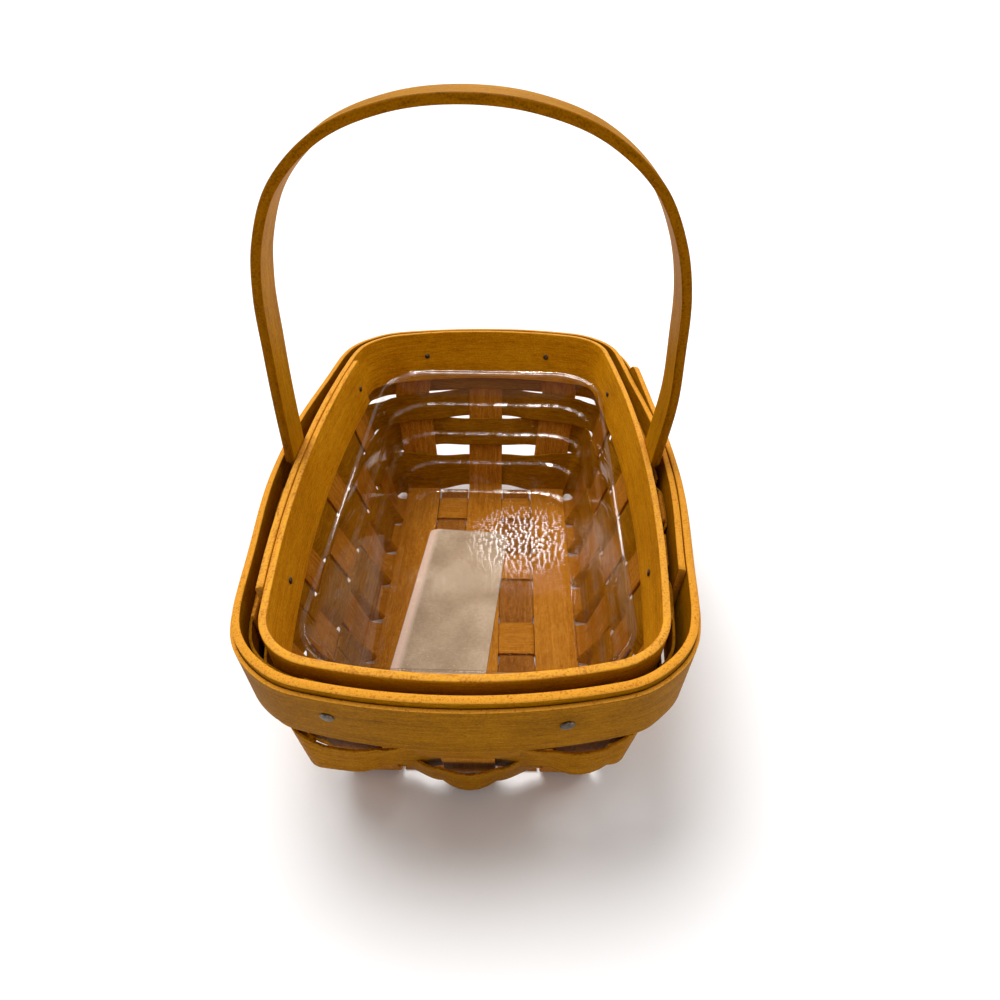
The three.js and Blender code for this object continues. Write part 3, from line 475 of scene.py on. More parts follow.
def densify(points, pitch):
    out = [points[0]]
    for a, b in zip(points, points[1:]):
        parts = max(1, round((b - a).length / pitch))
        out += [a + (b - a) * i / parts for i in range(1, parts + 1)]
    return out


# Materials

def node(tree, kind, inputs=None, **settings):
    made = tree.nodes.new(kind)
    for key, value in settings.items():
        setattr(made, key, value)
    for key, value in (inputs or {}).items():
        if isinstance(value, bpy.types.NodeSocket):
            tree.links.new(value, made.inputs[key])
        else:
            made.inputs[key].default_value = value
    return made


def new_material(name):
    material = bpy.data.materials.new(name)
    material.use_nodes = True
    tree = material.node_tree
    tree.nodes.clear()
    return material, tree


def object_place(tree):
    return tree.nodes.new("ShaderNodeTexCoord").outputs["Object"]


def edge_mark(tree):
    made = node(tree, "ShaderNodeAttribute", attribute_name="edge", attribute_type="GEOMETRY")
    return made.outputs["Fac"]


def srgb(text):
    values = [int(text[i:i + 2], 16) / 255 for i in (0, 2, 4)]
    return [v / 12.92 if v <= 0.04045 else ((v + 0.055) / 1.055) ** 2.4 for v in values] + [1.0]


def ramp(tree, factor, *stops):
    """A colour ramp. Each stop is (position, colour), with the colour as sRGB text or as values."""
    made = tree.nodes.new("ShaderNodeValToRGB")
    tree.links.new(factor, made.inputs["Fac"])
    elements = made.color_ramp.elements
    stops = [(position, srgb(c) if isinstance(c, str) else c) for position, c in stops]
    elements[0].position, elements[0].color = stops[0]
    elements[1].position, elements[1].color = stops[-1]
    for position, colour in stops[1:-1]:
        elements.new(position).color = colour
    return made.outputs["Color"]


def mask(tree, factor, *stops):
    """A ramp of greys. Each stop is (position, brightness)."""
    return ramp(tree, factor, *((position, (value, value, value, 1)) for position, value in stops))


def scaled(tree, vector, scale):
    return node(tree, "ShaderNodeVectorMath", {0: vector, 1: scale}, operation="MULTIPLY").outputs[0]


def scaled_noise(tree, vector, scale, detail=3.0, rough=0.55, distortion=0.0):
    made = node(tree, "ShaderNodeTexNoise", {
        "Vector": scaled(tree, vector, scale), "Scale": 1.0, "Detail": detail, "Roughness": rough,
        "Distortion": distortion})
    return made.outputs["Fac"]


def maths(tree, operation, a, b=0.0, clamp=False):
    return node(tree, "ShaderNodeMath", {0: a, 1: b}, operation=operation, use_clamp=clamp).outputs[0]


def times(tree, first, *others):
    for other in others:
        first = maths(tree, "MULTIPLY", first, other)
    return first


def plus(tree, first, *others):
    for other in others:
        first = maths(tree, "ADD", first, other)
    return first


def minus(tree, a, b, clamp=False):
    return maths(tree, "SUBTRACT", a, b, clamp)


def weighted(tree, *parts):
    """The sum of (value, weight) parts."""
    return plus(tree, *(times(tree, value, weight) for value, weight in parts))


def mix_colour(tree, factor, a, b):
    made = tree.nodes.new("ShaderNodeMix")
    made.data_type = "RGBA"
    for index, value in ((0, factor), (6, a), (7, b)):
        if isinstance(value, bpy.types.NodeSocket):
            tree.links.new(value, made.inputs[index])
        else:
            made.inputs[index].default_value = value
    return made.outputs[2]


def bump(tree, strength, distance, height):
    made = node(tree, "ShaderNodeBump", {"Strength": strength, "Distance": distance, "Height": height})
    return made.outputs["Normal"]


def finish_material(tree, inputs):
    shader = node(tree, "ShaderNodeBsdfPrincipled", inputs)
    node(tree, "ShaderNodeOutputMaterial", {"Surface": shader.outputs[0]})


def wood(name, dark, middle, light, edge_dark, edge, edge_light, rough):
    """Stained splint wood: long fibres, short dark flecks, fine speckle, colour drift, and edges of their
    own speckled colour, which where lighter than the faces is partly worn wood and partly a painted
    highlight.
    """
    material, tree = new_material(name)
    grain = node(tree, "ShaderNodeUVMap", uv_map="grain").outputs["UV"]
    at = object_place(tree)
    fibres = scaled_noise(tree, grain, (170, 3000, 1), 5.0, 0.7)
    bands = scaled_noise(tree, grain, (26, 800, 1), 3.0, 0.55, 0.4)
    drift = scaled_noise(tree, grain, (16, 110, 1), 2.0, 0.5, 0.6)
    blotch = scaled_noise(tree, at, (55, 55, 55), 3.0, 0.65)
    speck = scaled_noise(tree, at, (1500, 1500, 1500), 3.0, 0.7)
    pores = scaled_noise(tree, grain, (420, 4600, 1), 2.0, 0.5)
    flecks = scaled_noise(tree, grain, (130, 1300, 1), 3.0, 0.6, 0.3)
    patch = scaled_noise(tree, grain, (160, 700, 1), 3.0, 0.6)
    tone = weighted(tree, (fibres, 0.38), (bands, 0.14), (drift, 0.10), (blotch, 0.12), (speck, 0.26))
    face = ramp(tree, tone, (0.385, dark), (0.5, middle), (0.615, light))
    face = mix_colour(tree, times(tree, mask(tree, pores, (0.30, 1), (0.39, 0)), 0.55), face, srgb(dark))
    face = mix_colour(tree, times(tree, mask(tree, flecks, (0.33, 1), (0.41, 0)), 0.5), face, srgb(dark))
    speckle = weighted(tree, (speck, 0.6), (patch, 0.4))
    # Edge colour; where it is lighter than the faces, it is partly worn wood and partly a painted highlight
    # of lit edges
    rim = ramp(tree, speckle, (0.36, edge_dark), (0.50, edge), (0.66, edge_light))
    height = weighted(tree, (fibres, 0.6), (pores, 0.25), (bands, 0.4), (speck, 0.2))
    finish_material(tree, {
        "Base Color": mix_colour(tree, edge_mark(tree), face, rim),
        "Roughness": plus(tree, times(tree, fibres, 0.22), rough - 0.1),
        "Normal": bump(tree, 0.45, 0.00018, height),
        "Specular IOR Level": 0.03, "Specular Tint": (1.0, 0.62, 0.15, 1.0)})
    return material


# Faces from dark to light, then edges from dark to light
# The bands' edges are lighter than their faces: partly worn wood, partly a painted highlight of their lit
# top edges
outer_wood = wood("outer_band_wood", "623a00", "8a5800", "ac740a", "a86416", "e29a34", "ac740a", 0.56)
# The inner band's wood is much lighter than the outer band's, partly a painted lift against the shade
# inside the basket
inner_wood = wood("inner_band_wood", "9a5c00", "cc8608", "e6a61e", "a86616", "dc983a", "e6a61e", 0.55)
handle_wood = wood("handle_wood", "804e00", "b07400", "c88c10", "623800", "885200", "965e06", 0.5)
weaver_wood = wood("weaver_wood", "6a3a00", "966006", "b47a14", "643800", "9c640c", "b47a14", 0.55)
splint_wood = wood("splint_wood", "84480a", "b2701a", "d08c30", "80460a", "b87420", "d08c30", 0.5)
filler_wood = wood("filler_wood", "64340a", "92581c", "b47838", "5e320a", "8e541c", "b47838", 0.55)


# Splints: up one wall, over the floor, up the other

long_places = [(i - (LONG_SPLINTS - 1) / 2) * LONG_PITCH for i in range(LONG_SPLINTS)]
cross_places = [(i - (CROSS_SPLINTS - 1) / 2) * CROSS_PITCH for i in range(CROSS_SPLINTS)]
filler_places = [x - LONG_PITCH / 2 for x in long_places[1:]]


def side_stop(y):
    return y / (BASE_HALF_LENGTH - BASE_CORNER_RADIUS) * SIDE_RUN


def end_stop(x):
    return QUARTER - x / (BASE_HALF_WIDTH - BASE_CORNER_RADIUS) * END_RUN


upright_stops = sorted(s % RING for s in (
    [side_stop(y) for y in cross_places] + [end_stop(x) for x in long_places]
    + [LEFT - side_stop(y) for y in cross_places] + [RING - end_stop(x) for x in long_places]))


def upright_path(s, across):
    """The way down a wall at a place, as (point, across)."""
    top, low = RIM_HEIGHT - UPRIGHT_DROP, FOLD_LEG + 1
    path = []
    for i in range(UPRIGHT_RINGS + 1):
        z = top + (low - top) * i / UPRIGHT_RINGS
        step = (wall_middle(s + 0.5, z) - wall_middle(s - 0.5, z)).length
        half = UPRIGHT_WIDTH / 2 / step
        left, right = wall_middle(s - half, z), wall_middle(s + half, z)
        point = ((left + right) / 2 + wall_middle(s, z)) / 2
        along = (right - left).normalized()
        path.append((point, along if along.dot(across) > 0 else -along))
    return path


def fold(s, level, neighbour, direction):
    """The curve from a wall onto the floor."""
    corner = wall_middle(s, level)
    first = corner + (neighbour - corner).normalized() * FOLD_LEG
    last = corner + direction * FOLD_LEG
    curve = []
    for i in range(FOLD_RINGS + 1):
        t = i / FOLD_RINGS
        curve.append(first * (1 - t) ** 2 + corner * 2 * t * (1 - t) + last * t * t)
    return curve


def splint(name, start, stop, floor_points, inward, level, across, seed):
    down = upright_path(start, across)
    up = upright_path(stop, across)[::-1]
    first = fold(start, level, down[-1][0], inward)
    last = fold(stop, level, up[0][0], -inward)[::-1]
    floor = densify([first[-1]] + floor_points + [last[0]], FLOOR_PITCH)[1:-1]
    path = [(p, a, 1) for p, a in down] + [(p, across, 1) for p in first + floor + last]
    path += [(p, a, 1) for p, a in up]
    trimmed = [path[0]]
    for item in path[1:]:
        if (item[0] - trimmed[-1][0]).length > 0.25:
            trimmed.append(item)
    section = rounded(UPRIGHT_WIDTH, SPLINT_THICK, SPLINT_EDGE)
    skin("wood_" + name, path_rings(trimmed, section), section, splint_wood,
         replaces=name, seed=seed)


def over_filler(index):
    return index % 2 == 0


def cross_floor(index, y):
    """The floor points of a cross splint, which every second time rises over the fillers."""
    if not over_filler(index):
        return [Vector((0, y, CROSS_LEVEL))]
    start = LONG_PITCH / 2 - UPRIGHT_WIDTH / 2 - 0.85 * EDGE_GAP
    end = FILLER_NECK / 2 + PLY_GAP
    points = []
    for centre in filler_places:
        rise = []
        for i in range(7):
            t = i / 6
            level = CROSS_LEVEL + (LONG_LEVEL - CROSS_LEVEL) * ease(t)
            rise.append((centre - start + (start - end) * t, level))
        fall = [(2 * centre - x, z) for x, z in reversed(rise)]
        points += [Vector((x, y, z)) for x, z in rise + fall]
    return points


for i, (side, x) in enumerate(zip(("left", "middle", "right"), long_places)):
    splint(f"long_splint_{side}", end_stop(x), RING - end_stop(x), [Vector((x, 0, LONG_LEVEL))],
           -Y_AXIS, LONG_LEVEL, X_AXIS, 1 + i)
for i, y in enumerate(cross_places):
    splint(f"cross_splint_{i + 1}", LEFT - side_stop(y), side_stop(y), cross_floor(i, y),
           X_AXIS, CROSS_LEVEL, Y_AXIS, 11 + i)


def filler(index, x):
    """A short floor strip, which narrows where it dips under a cross splint."""
    path = []
    flat = UPRIGHT_WIDTH / 2 + EDGE_GAP
    for k, y in enumerate(cross_places):
        level = CROSS_LEVEL if over_filler(k) else LONG_LEVEL
        after = CROSS_LEVEL if over_filler(k + 1) else LONG_LEVEL
        path.append(Vector((x, -FILLER_NEAR if k == 0 else y - flat, level)))
        path.append(Vector((x, FILLER_FAR if k == CROSS_SPLINTS - 1 else y + flat, level)))
        if k + 1 < CROSS_SPLINTS:
            gap = CROSS_PITCH - 2 * flat
            for t in (0.17, 0.33, 0.5, 0.67, 0.83):
                path.append(Vector((x, y + flat + gap * t, level + (after - level) * ease(t))))

    def share(z):
        rise = (z - CROSS_LEVEL) / (LONG_LEVEL - CROSS_LEVEL)
        return (FILLER_NECK + (FILLER_WIDTH - FILLER_NECK) * rise) / FILLER_WIDTH

    section = rounded(FILLER_WIDTH, SPLINT_THICK, SPLINT_EDGE)
    rings = path_rings([(p, X_AXIS, share(p.z)) for p in densify(path, FILLER_PITCH)], section)
    skin(f"wood_floor_filler_{index}", rings, section, filler_wood,
         replaces=f"floor_filler_{index}", seed=31 + index)


for i, x in enumerate(filler_places):
    filler(i + 1, x)


# Weaving rows

corner_stops = []
for s in (SIDE_RUN + CORNER_RUN / 2, LEFT - SIDE_RUN - CORNER_RUN / 2):
    corner_stops += [s, RING - s]


def weaver(index, bottom, height=ROW_HEIGHT, sag=0, level_top=False, bow=0, kick=0, tuck=0, side_low=0,
           side_high=0, near_low=0, near_high=0, corner_high=0, middle_low=0, far_low=0):
    """One row round the basket, over and under the uprights.

    It sags at the corners. At the near end it bows out, and its lower edge is kicked out further. Along
    the sides its lower edge may be tucked in. The last seven lengths widen it down or up: along the sides,
    at the near end, at its corners or middle, and at the far end.
    """
    phase = index - 1
    count = len(upright_stops)
    seam = SEAM_UPRIGHT + (SEAM_UPRIGHT + phase) % 2

    def stop(s, out, kicked):
        to_corner = min(apart(s, corner) for corner in corner_stops)
        level = bottom - sag * (1 - ease(to_corner / (CORNER_RUN / 2 + END_RUN * 0.3)))
        far_half = 0 < s % RING < LEFT
        side_end = SIDE_RUN + 0.8 * CORNER_RUN if far_half else SIDE_RUN * 0.9
        from_near = apart(s, NEAR)
        on_side = 1 - ease((from_side(s)[1] - side_end) / (CORNER_RUN + SPREAD_FADE))
        on_near = 1 - ease((from_near - END_RUN - 0.3 * CORNER_RUN) / CORNER_RUN)
        in_middle = 1 - ease((from_near - MIDDLE_HALF) / SPREAD_FADE)
        on_far = 1 - ease((apart(s, QUARTER) - END_RUN) / FAR_FADE)
        drop = side_low * on_side + near_low * on_near + middle_low * in_middle + far_low * on_far
        off_middle = ease((from_near - NEAR_LIFT_START) / NEAR_LIFT_FADE)
        lift = side_high * on_side + near_high * on_near * off_middle
        lift += corner_high * ease((from_near - END_RUN + COVER_LEAD) / COVER_FADE) * on_near
        top = bottom if level_top and s % RING > LEFT else level
        return s, out, max(level - drop, LOWEST_EDGE), top + height + lift, kicked

    def passing(i):
        """How the row passes upright i: where, over what half width, how far out and how far kicked."""
        s = upright_stops[i % count] + (RING if i >= count else 0)
        step = (wall_middle(s + 0.5, bottom) - wall_middle(s - 0.5, bottom)).length
        half = (UPRIGHT_WIDTH / 2 + EDGE_GAP) / step
        inside = (i + phase) % 2 == 0
        bows = bow > 0 and not inside and apart(s, NEAR) < END_RUN
        from_middle = (s - NEAR + RING / 2) % RING - RING / 2

        def swell(u):
            to_corner = abs(from_middle) > 5 and u * from_middle > 0
            fall = (0 if from_middle < 0 else RIGHT_BOW_FALL) if to_corner else BOW_FALL
            return 1 - fall * u * u if bows else 0

        def out(u):
            return (-WEAVE_SWING if inside else WEAVE_SWING) + bow * swell(u)

        def kicked(u):
            return kick * swell(u)

        return s, half, out, kicked

    def crossing(s, half, out, kicked, next_s, next_half, next_out, next_kicked):
        """The stops between two uprights, where the row goes from one side of the wall to the other."""
        start = s + half
        gap = next_s - next_half - start
        parts = max(6, math.ceil(gap / 1.5))
        for k in range(1, parts):
            t = k / parts
            share = (1 - math.cos(math.pi * t)) / 2
            here = start + gap * t
            at_corner = kick > 0 and apart(here, NEAR) < END_RUN + CORNER_RUN + 12 and gap > CORNER_GAP
            hump = math.sin(math.pi * t) if at_corner and kicked(1) + next_kicked(-1) > 0 else 0
            off_ends = min(apart(here, QUARTER), apart(here, NEAR)) > END_RUN * 0.9
            tucked = tuck * math.sin(math.pi * t) if off_ends else 0
            yield stop(here, out(1) + (next_out(-1) - out(1)) * share + CORNER_BULGE * hump,
                       kicked(1) + (next_kicked(-1) - kicked(1)) * share + CORNER_KICK * hump - tucked)

    stops = []
    for i in range(seam, seam + count + 1):
        s, half, out, kicked = passing(i)
        first, last = i == seam, i == seam + count
        begin = EDGE_GAP / 2 / half if first else -1
        end = -EDGE_GAP / 2 / half if last else 1
        for k in range(7):
            u = begin + (end - begin) * k / 6
            at = 1 if first or last else u
            stops.append(stop(s + u * half, out(at), kicked(at)))
        if not last:
            stops += crossing(s, half, out, kicked, *passing(i + 1))
    section = rounded(WEAVER_WIDTH, SPLINT_THICK, SPLINT_EDGE)
    rings = wall_rings(stops, wall_middle, section, ROW_RIPPLE, index)
    skin(f"wood_weaver_row_{index}", rings, section, weaver_wood,
         replaces=f"weaver_row_{index}", seed=41 + index)


weaver(1, FIRST_ROW_LIFT, bow=FIRST_ROW_BOW, kick=FIRST_ROW_KICK, tuck=FIRST_ROW_TUCK, side_low=3.5,
       side_high=3.3, near_high=4.6, far_low=2.2)
weaver(2, SECOND_ROW_BOTTOM, sag=CORNER_SAG, bow=SECOND_ROW_BOW, kick=SECOND_ROW_KICK, side_low=2.1,
       side_high=0.8, corner_high=CORNER_COVER, middle_low=13.5)
weaver(3, THIRD_ROW_BOTTOM, sag=CORNER_SAG, level_top=True, side_low=0.3, near_low=7)
weaver(4, FOURTH_ROW_BOTTOM, FOURTH_ROW_WIDTH * COS_LEAN)
weaver(5, FIFTH_ROW_BOTTOM, FIFTH_ROW_WIDTH * COS_LEAN)


# Rim bands

def band(name, start, stop, drop, width, thick, edge, offset, material, seed, width_at=None, extra=(),
         rise=None):
    """A strip round the rim, from start to stop. Its free end may have its own widths, rings and rise."""
    middle = RIM_HEIGHT - drop - width / 2 * COS_LEAN
    count = max(2, round((stop - start) / BAND_PITCH))
    places = [start + (stop - start) * i / count for i in range(count + 1)]
    places = [s for s in places if all(abs(s - e) > 0.6 for e in extra)]
    stops = []
    for s in sorted(places + list(extra)):
        reach = (width_at(s) if width_at else width) / 2 * COS_LEAN
        up = rise(s) if rise else 0
        stops.append((s, offset(s), middle - reach + up, middle + reach + up, 0))
    section = rounded(width, thick, edge, (0.15, 0.35, 0.5, 0.65, 0.85))
    rings = wall_rings(stops, top_point, section, BAND_RIPPLE, seed)
    skin("wood_" + name, rings, section, material, replaces=name, seed=seed)


inner_from = LEFT - INNER_START
outer_to = RING + OUTER_END


def inner_offset(s):
    lapped = s > inner_from + 3 * QUARTER and from_side(s)[0]
    return -BAND_OFFSET + (ply_shift(s) if lapped else 0)


def loose(s):
    """How near a place is to the outer band's free end, from 0 to 1."""
    return ease((s - outer_to + FREE_END_RUN) / FREE_END_RUN)


def outer_offset(s):
    pushed = ply_shift(s) if from_side(s)[0] or s > NEAR else 0
    return BAND_OFFSET + tongue_shift(s) + pushed + FREE_END_GAP * loose(s)


def outer_width(s):
    past = clamp01((s - outer_to + FREE_END_RADIUS) / FREE_END_RADIUS)
    r = FREE_END_RADIUS
    return OUTER_BAND_WIDTH - 2 * r + 2 * r * math.sqrt(1 - past * past) + (0.01 if past == 1 else 0)


band("inner_band", inner_from, 6 * QUARTER + INNER_END, 0, BAND_WIDTH, BAND_THICK, BAND_EDGE,
     inner_offset, inner_wood, 51)
band("outer_band", -OUTER_START, outer_to, OUTER_DROP, OUTER_BAND_WIDTH, BAND_THICK, BAND_EDGE,
     outer_offset, outer_wood, 52, outer_width, [outer_to - d for d in FREE_END_RINGS],
     lambda s: FREE_END_LIFT * loose(s))
band("trim_band", TRIM_SEAM, TRIM_SEAM + RING - EDGE_GAP, TRIM_DROP, TRIM_WIDTH, TRIM_THICK, TRIM_EDGE,
     lambda s: TRIM_OFFSET + tongue_shift(s) + ply_shift(s), outer_wood, 53)


# Handle

def curve_through(points, count):
    """A centripetal curve through the points."""
    ts = [0.0]
    for a, b in zip(points, points[1:]):
        ts.append(ts[-1] + math.sqrt((b - a).length))
    pad = [points[0] * 2 - points[1]] + points + [points[-1] * 2 - points[-2]]
    knots = [ts[0] - (ts[1] - ts[0])] + ts + [ts[-1] + (ts[-1] - ts[-2])]
    out = []
    for k in range(count + 1):
        t = ts[-1] * k / count
        i = 1
        while i < len(points) - 1 and t > knots[i + 1]:
            i += 1
        p, n = pad[i - 1:i + 3], knots[i - 1:i + 3]

        def blend(a, b, low, high):
            return a * ((n[high] - t) / (n[high] - n[low])) + b * ((t - n[low]) / (n[high] - n[low]))

        one, two, three = blend(p[0], p[1], 0, 1), blend(p[1], p[2], 1, 2), blend(p[2], p[3], 2, 3)
        out.append(blend(blend(one, two, 0, 2), blend(two, three, 1, 3), 1, 2))
    return out


def handle():
    right_in = -BAND_OFFSET + BAND_THICK / 2 + PLY_GAP
    left_in = right_in + PLY_STEP
    low, step = BAND_BOTTOM + EDGE_GAP, RIM_HEIGHT - HANDLE_STEP

    def foot(right, z, thick):
        return top_point(0 if right else LEFT, z, (right_in if right else left_in) + thick / 2)

    def foot_frame(right, z):
        thick = TONGUE_THICK if z < step else HANDLE_THICK
        run = Vector((math.sin(SIDE_LEAN), 0, math.cos(SIDE_LEAN) * (1 if right else -1)))
        return foot(right, z, thick), run, thick

    right_foot, left_foot = foot(True, RIM_HEIGHT, HANDLE_THICK), foot(False, RIM_HEIGHT, HANDLE_THICK)
    centre = (right_foot.x + left_foot.x) / 2

    def arch_point(x, z):
        middle = centre * (1 - abs(x)) + HANDLE_DRIFT * clamp01(2 * z - 0.9)
        return Vector((middle + HANDLE_SPREAD * x, 0, RIM_HEIGHT + HANDLE_RISE * z))

    points = [right_foot] + [arch_point(x, z) for x, z in HANDLE_SHAPE] + [arch_point(0, 1)]
    points += [arch_point(-x, z) for x, z in reversed(HANDLE_SHAPE)] + [left_foot]
    arch = curve_through(points, ARCH_RINGS)
    heights = [low + up for up in TONGUE_RINGS] + [step - 0.01, step + 0.6]
    frames = [foot_frame(True, z) for z in heights]
    for i, at in enumerate(arch):
        run = (arch[min(len(arch) - 1, i + 1)] - arch[max(0, i - 1)]).normalized()
        frames.append((at, run, HANDLE_THICK))
    frames += [foot_frame(False, z) for z in reversed(heights)]
    section = rounded(HANDLE_WIDTH, HANDLE_THICK, HANDLE_EDGE, (0.2, 0.4, 0.6, 0.8))
    rings = []
    for at, run, thick in frames:
        normal = run.cross(Y_AXIS).normalized()
        rings.append([at + Y_AXIS * w + normal * (t * thick / HANDLE_THICK) for w, t, _ in section])
    skin("wood_handle", rings, section, handle_wood, replaces="handle", seed=61)


handle()


# Tacks

def metal():
    material, tree = new_material("tack_metal")
    at = object_place(tree)
    worn = scaled_noise(tree, at, (900, 900, 900), 4.0, 0.6)
    pits = scaled_noise(tree, at, (2600, 2600, 2600), 2.0, 0.5)
    colour = ramp(tree, worn, (0.35, "2e2722"), (0.55, "5a4e44"), (0.7, "8a7c6c"))
    finish_material(tree, {
        "Base Color": colour, "Metallic": 0.85, "Roughness": plus(tree, times(tree, worn, 0.35), 0.22),
        "Normal": bump(tree, 0.35, 0.0001, pits)})
    return material


tack_metal = metal()
outer_long = QUARTER - end_stop(long_places[-1])
outer_cross = side_stop(cross_places[-1])
next_cross = side_stop(cross_places[-2])
tack_places = (
    ("tack_near_left", NEAR - outer_long + NEAR_LEFT_TACK, NEAR_TACK_DEPTHS[0]),
    ("tack_near_right", NEAR + outer_long - NEAR_RIGHT_TACK, NEAR_TACK_DEPTHS[1]),
    ("tack_far_right", QUARTER - outer_long + FAR_RIGHT_TACK, TACK_DEPTH),
    ("tack_far_left", QUARTER + outer_long - FAR_LEFT_TACK, TACK_DEPTH),
    ("tack_right_far", outer_cross - RIGHT_FAR_TACK, TACK_DEPTH),
    ("tack_right_near", RING - next_cross + RIGHT_NEAR_TACK, TACK_DEPTH),
    ("tack_left_far", LEFT - outer_cross + LEFT_FAR_TACK, TACK_DEPTH),
    ("tack_left_near", LEFT + outer_cross - LEFT_NEAR_TACK, TACK_DEPTH),
)


def tack(name, s, depth, seed):
    """A tack with a flattened tip inside, a shank through the plies and a struck head outside."""
    z = RIM_HEIGHT - depth
    slope = (top_point(s, z + 1) - top_point(s, z - 1)).normalized()
    run = (top_point(s + 1, z) - top_point(s - 1, z)).normalized()
    outward = run.cross(slope).normalized()
    origin = top_point(s, z)
    inside = -BAND_OFFSET - BAND_THICK / 2
    outside = TRIM_OFFSET + TRIM_THICK / 2 + tongue_shift(s) + ply_shift(s)
    low = inside - TACK_SEAT_GAP - TACK_TIP_HEIGHT
    high = outside + TACK_SEAT_GAP * 0.4
    tip, tip_high, r = TACK_TIP_RADIUS, low + TACK_TIP_HEIGHT, TACK_HEAD_RADIUS
    profile = [
        (0.05, low), (tip * 0.6, low), (tip * 0.9, low + 0.12), (tip, low + TACK_TIP_HEIGHT * 0.7),
        (tip * 0.9, tip_high), (TACK_SHANK_RADIUS, tip_high + 0.05), (TACK_SHANK_RADIUS, high - 0.02),
        (r * 0.93, high), (r, high + TACK_HEAD_RIM)]
    for i in range(1, 8):
        a = math.pi / 2 * i / 8
        up = TACK_HEAD_RIM + (TACK_HEAD_HEIGHT - TACK_HEAD_RIM) * math.sin(a)
        profile.append((r * math.cos(a) ** 0.8, high + up))
    profile.append((0.04, high + TACK_HEAD_HEIGHT))
    turn = Vector((0, 0, 1)).rotation_difference(outward).to_matrix()
    circle = [2 * math.pi * k / TACK_SIDES for k in range(TACK_SIDES)]
    rings = []
    for radius, along in profile:
        ring = []
        for a in circle:
            dent = 1 + 0.05 * noise.noise((math.cos(a) * 1.3, math.sin(a) * 1.3, seed * 3.7))
            across, up = radius * dent * math.cos(a), radius * dent * math.sin(a)
            ring.append(origin + turn @ Vector((across, up, along)))
        rings.append(ring)
    section = [(math.cos(a), math.sin(a), 0.0) for a in circle]
    skin("metal_" + name, rings, section, tack_metal, replaces=name, seed=seed)


for i, (name, s, depth) in enumerate(tack_places):
    tack(name, s, depth, 71 + i)


# Paper slip

def paper():
    material, tree = new_material("slip_paper")
    at = object_place(tree)
    pulp = scaled_noise(tree, at, (900, 900, 900), 4.0, 0.6)
    cloud = scaled_noise(tree, at, (60, 60, 60), 3.0, 0.5)
    tone = weighted(tree, (pulp, 0.3), (cloud, 0.7))
    colour = ramp(tree, tone, (0.36, "a48c6e"), (0.5, "b69e80"), (0.66, "c8b294"))
    # Painted highlight: the marked strip along the slip's left edge is paler
    colour = mix_colour(tree, times(tree, edge_mark(tree), 0.9), colour, srgb("f0d2bc"))
    finish_material(tree, {
        "Base Color": colour, "Roughness": 0.75, "Normal": bump(tree, 0.25, 0.0001, tone),
        "Specular IOR Level": 0.25})
    return material


def slip():
    """The slip, with rounded corners at its far end and a painted highlight: a paler strip along its left
    edge, as if that edge were bent up into the light; the slip itself lies flat.
    """
    turn = Matrix.Rotation(math.radians(SLIP_TURN), 3, "Z")
    base = Vector((SLIP_X, SLIP_Y, FLOOR_TOP + PLY_GAP + SLIP_THICK / 2))
    section = rounded(SLIP_WIDTH, SLIP_THICK, 0.1, [i / 16 for i in range(1, 16)])
    # The painted highlight strip along the left edge, on the top face only
    highlight_edge = SLIP_HIGHLIGHT_WIDTH - SLIP_WIDTH / 2
    highlighted = [(w, t, 1.0 if t > 0 and w < highlight_edge else 0.0) for w, t, _ in section]
    rings = []
    for i in range(SLIP_RINGS + 1):
        y = SLIP_LENGTH * (i / SLIP_RINGS - 0.5)
        past = clamp01((y - SLIP_LENGTH / 2 + SLIP_CORNER) / SLIP_CORNER)
        half = SLIP_WIDTH / 2 - SLIP_CORNER * (1 - math.sqrt(max(0.0, 1 - past * past)))
        rings.append([base + turn @ Vector((w * half / (SLIP_WIDTH / 2), y, t)) for w, t, _ in section])
    piece = skin("paper_sheet", rings, highlighted, paper(), replaces="paper_slip", seed=81)


slip()


# Liner

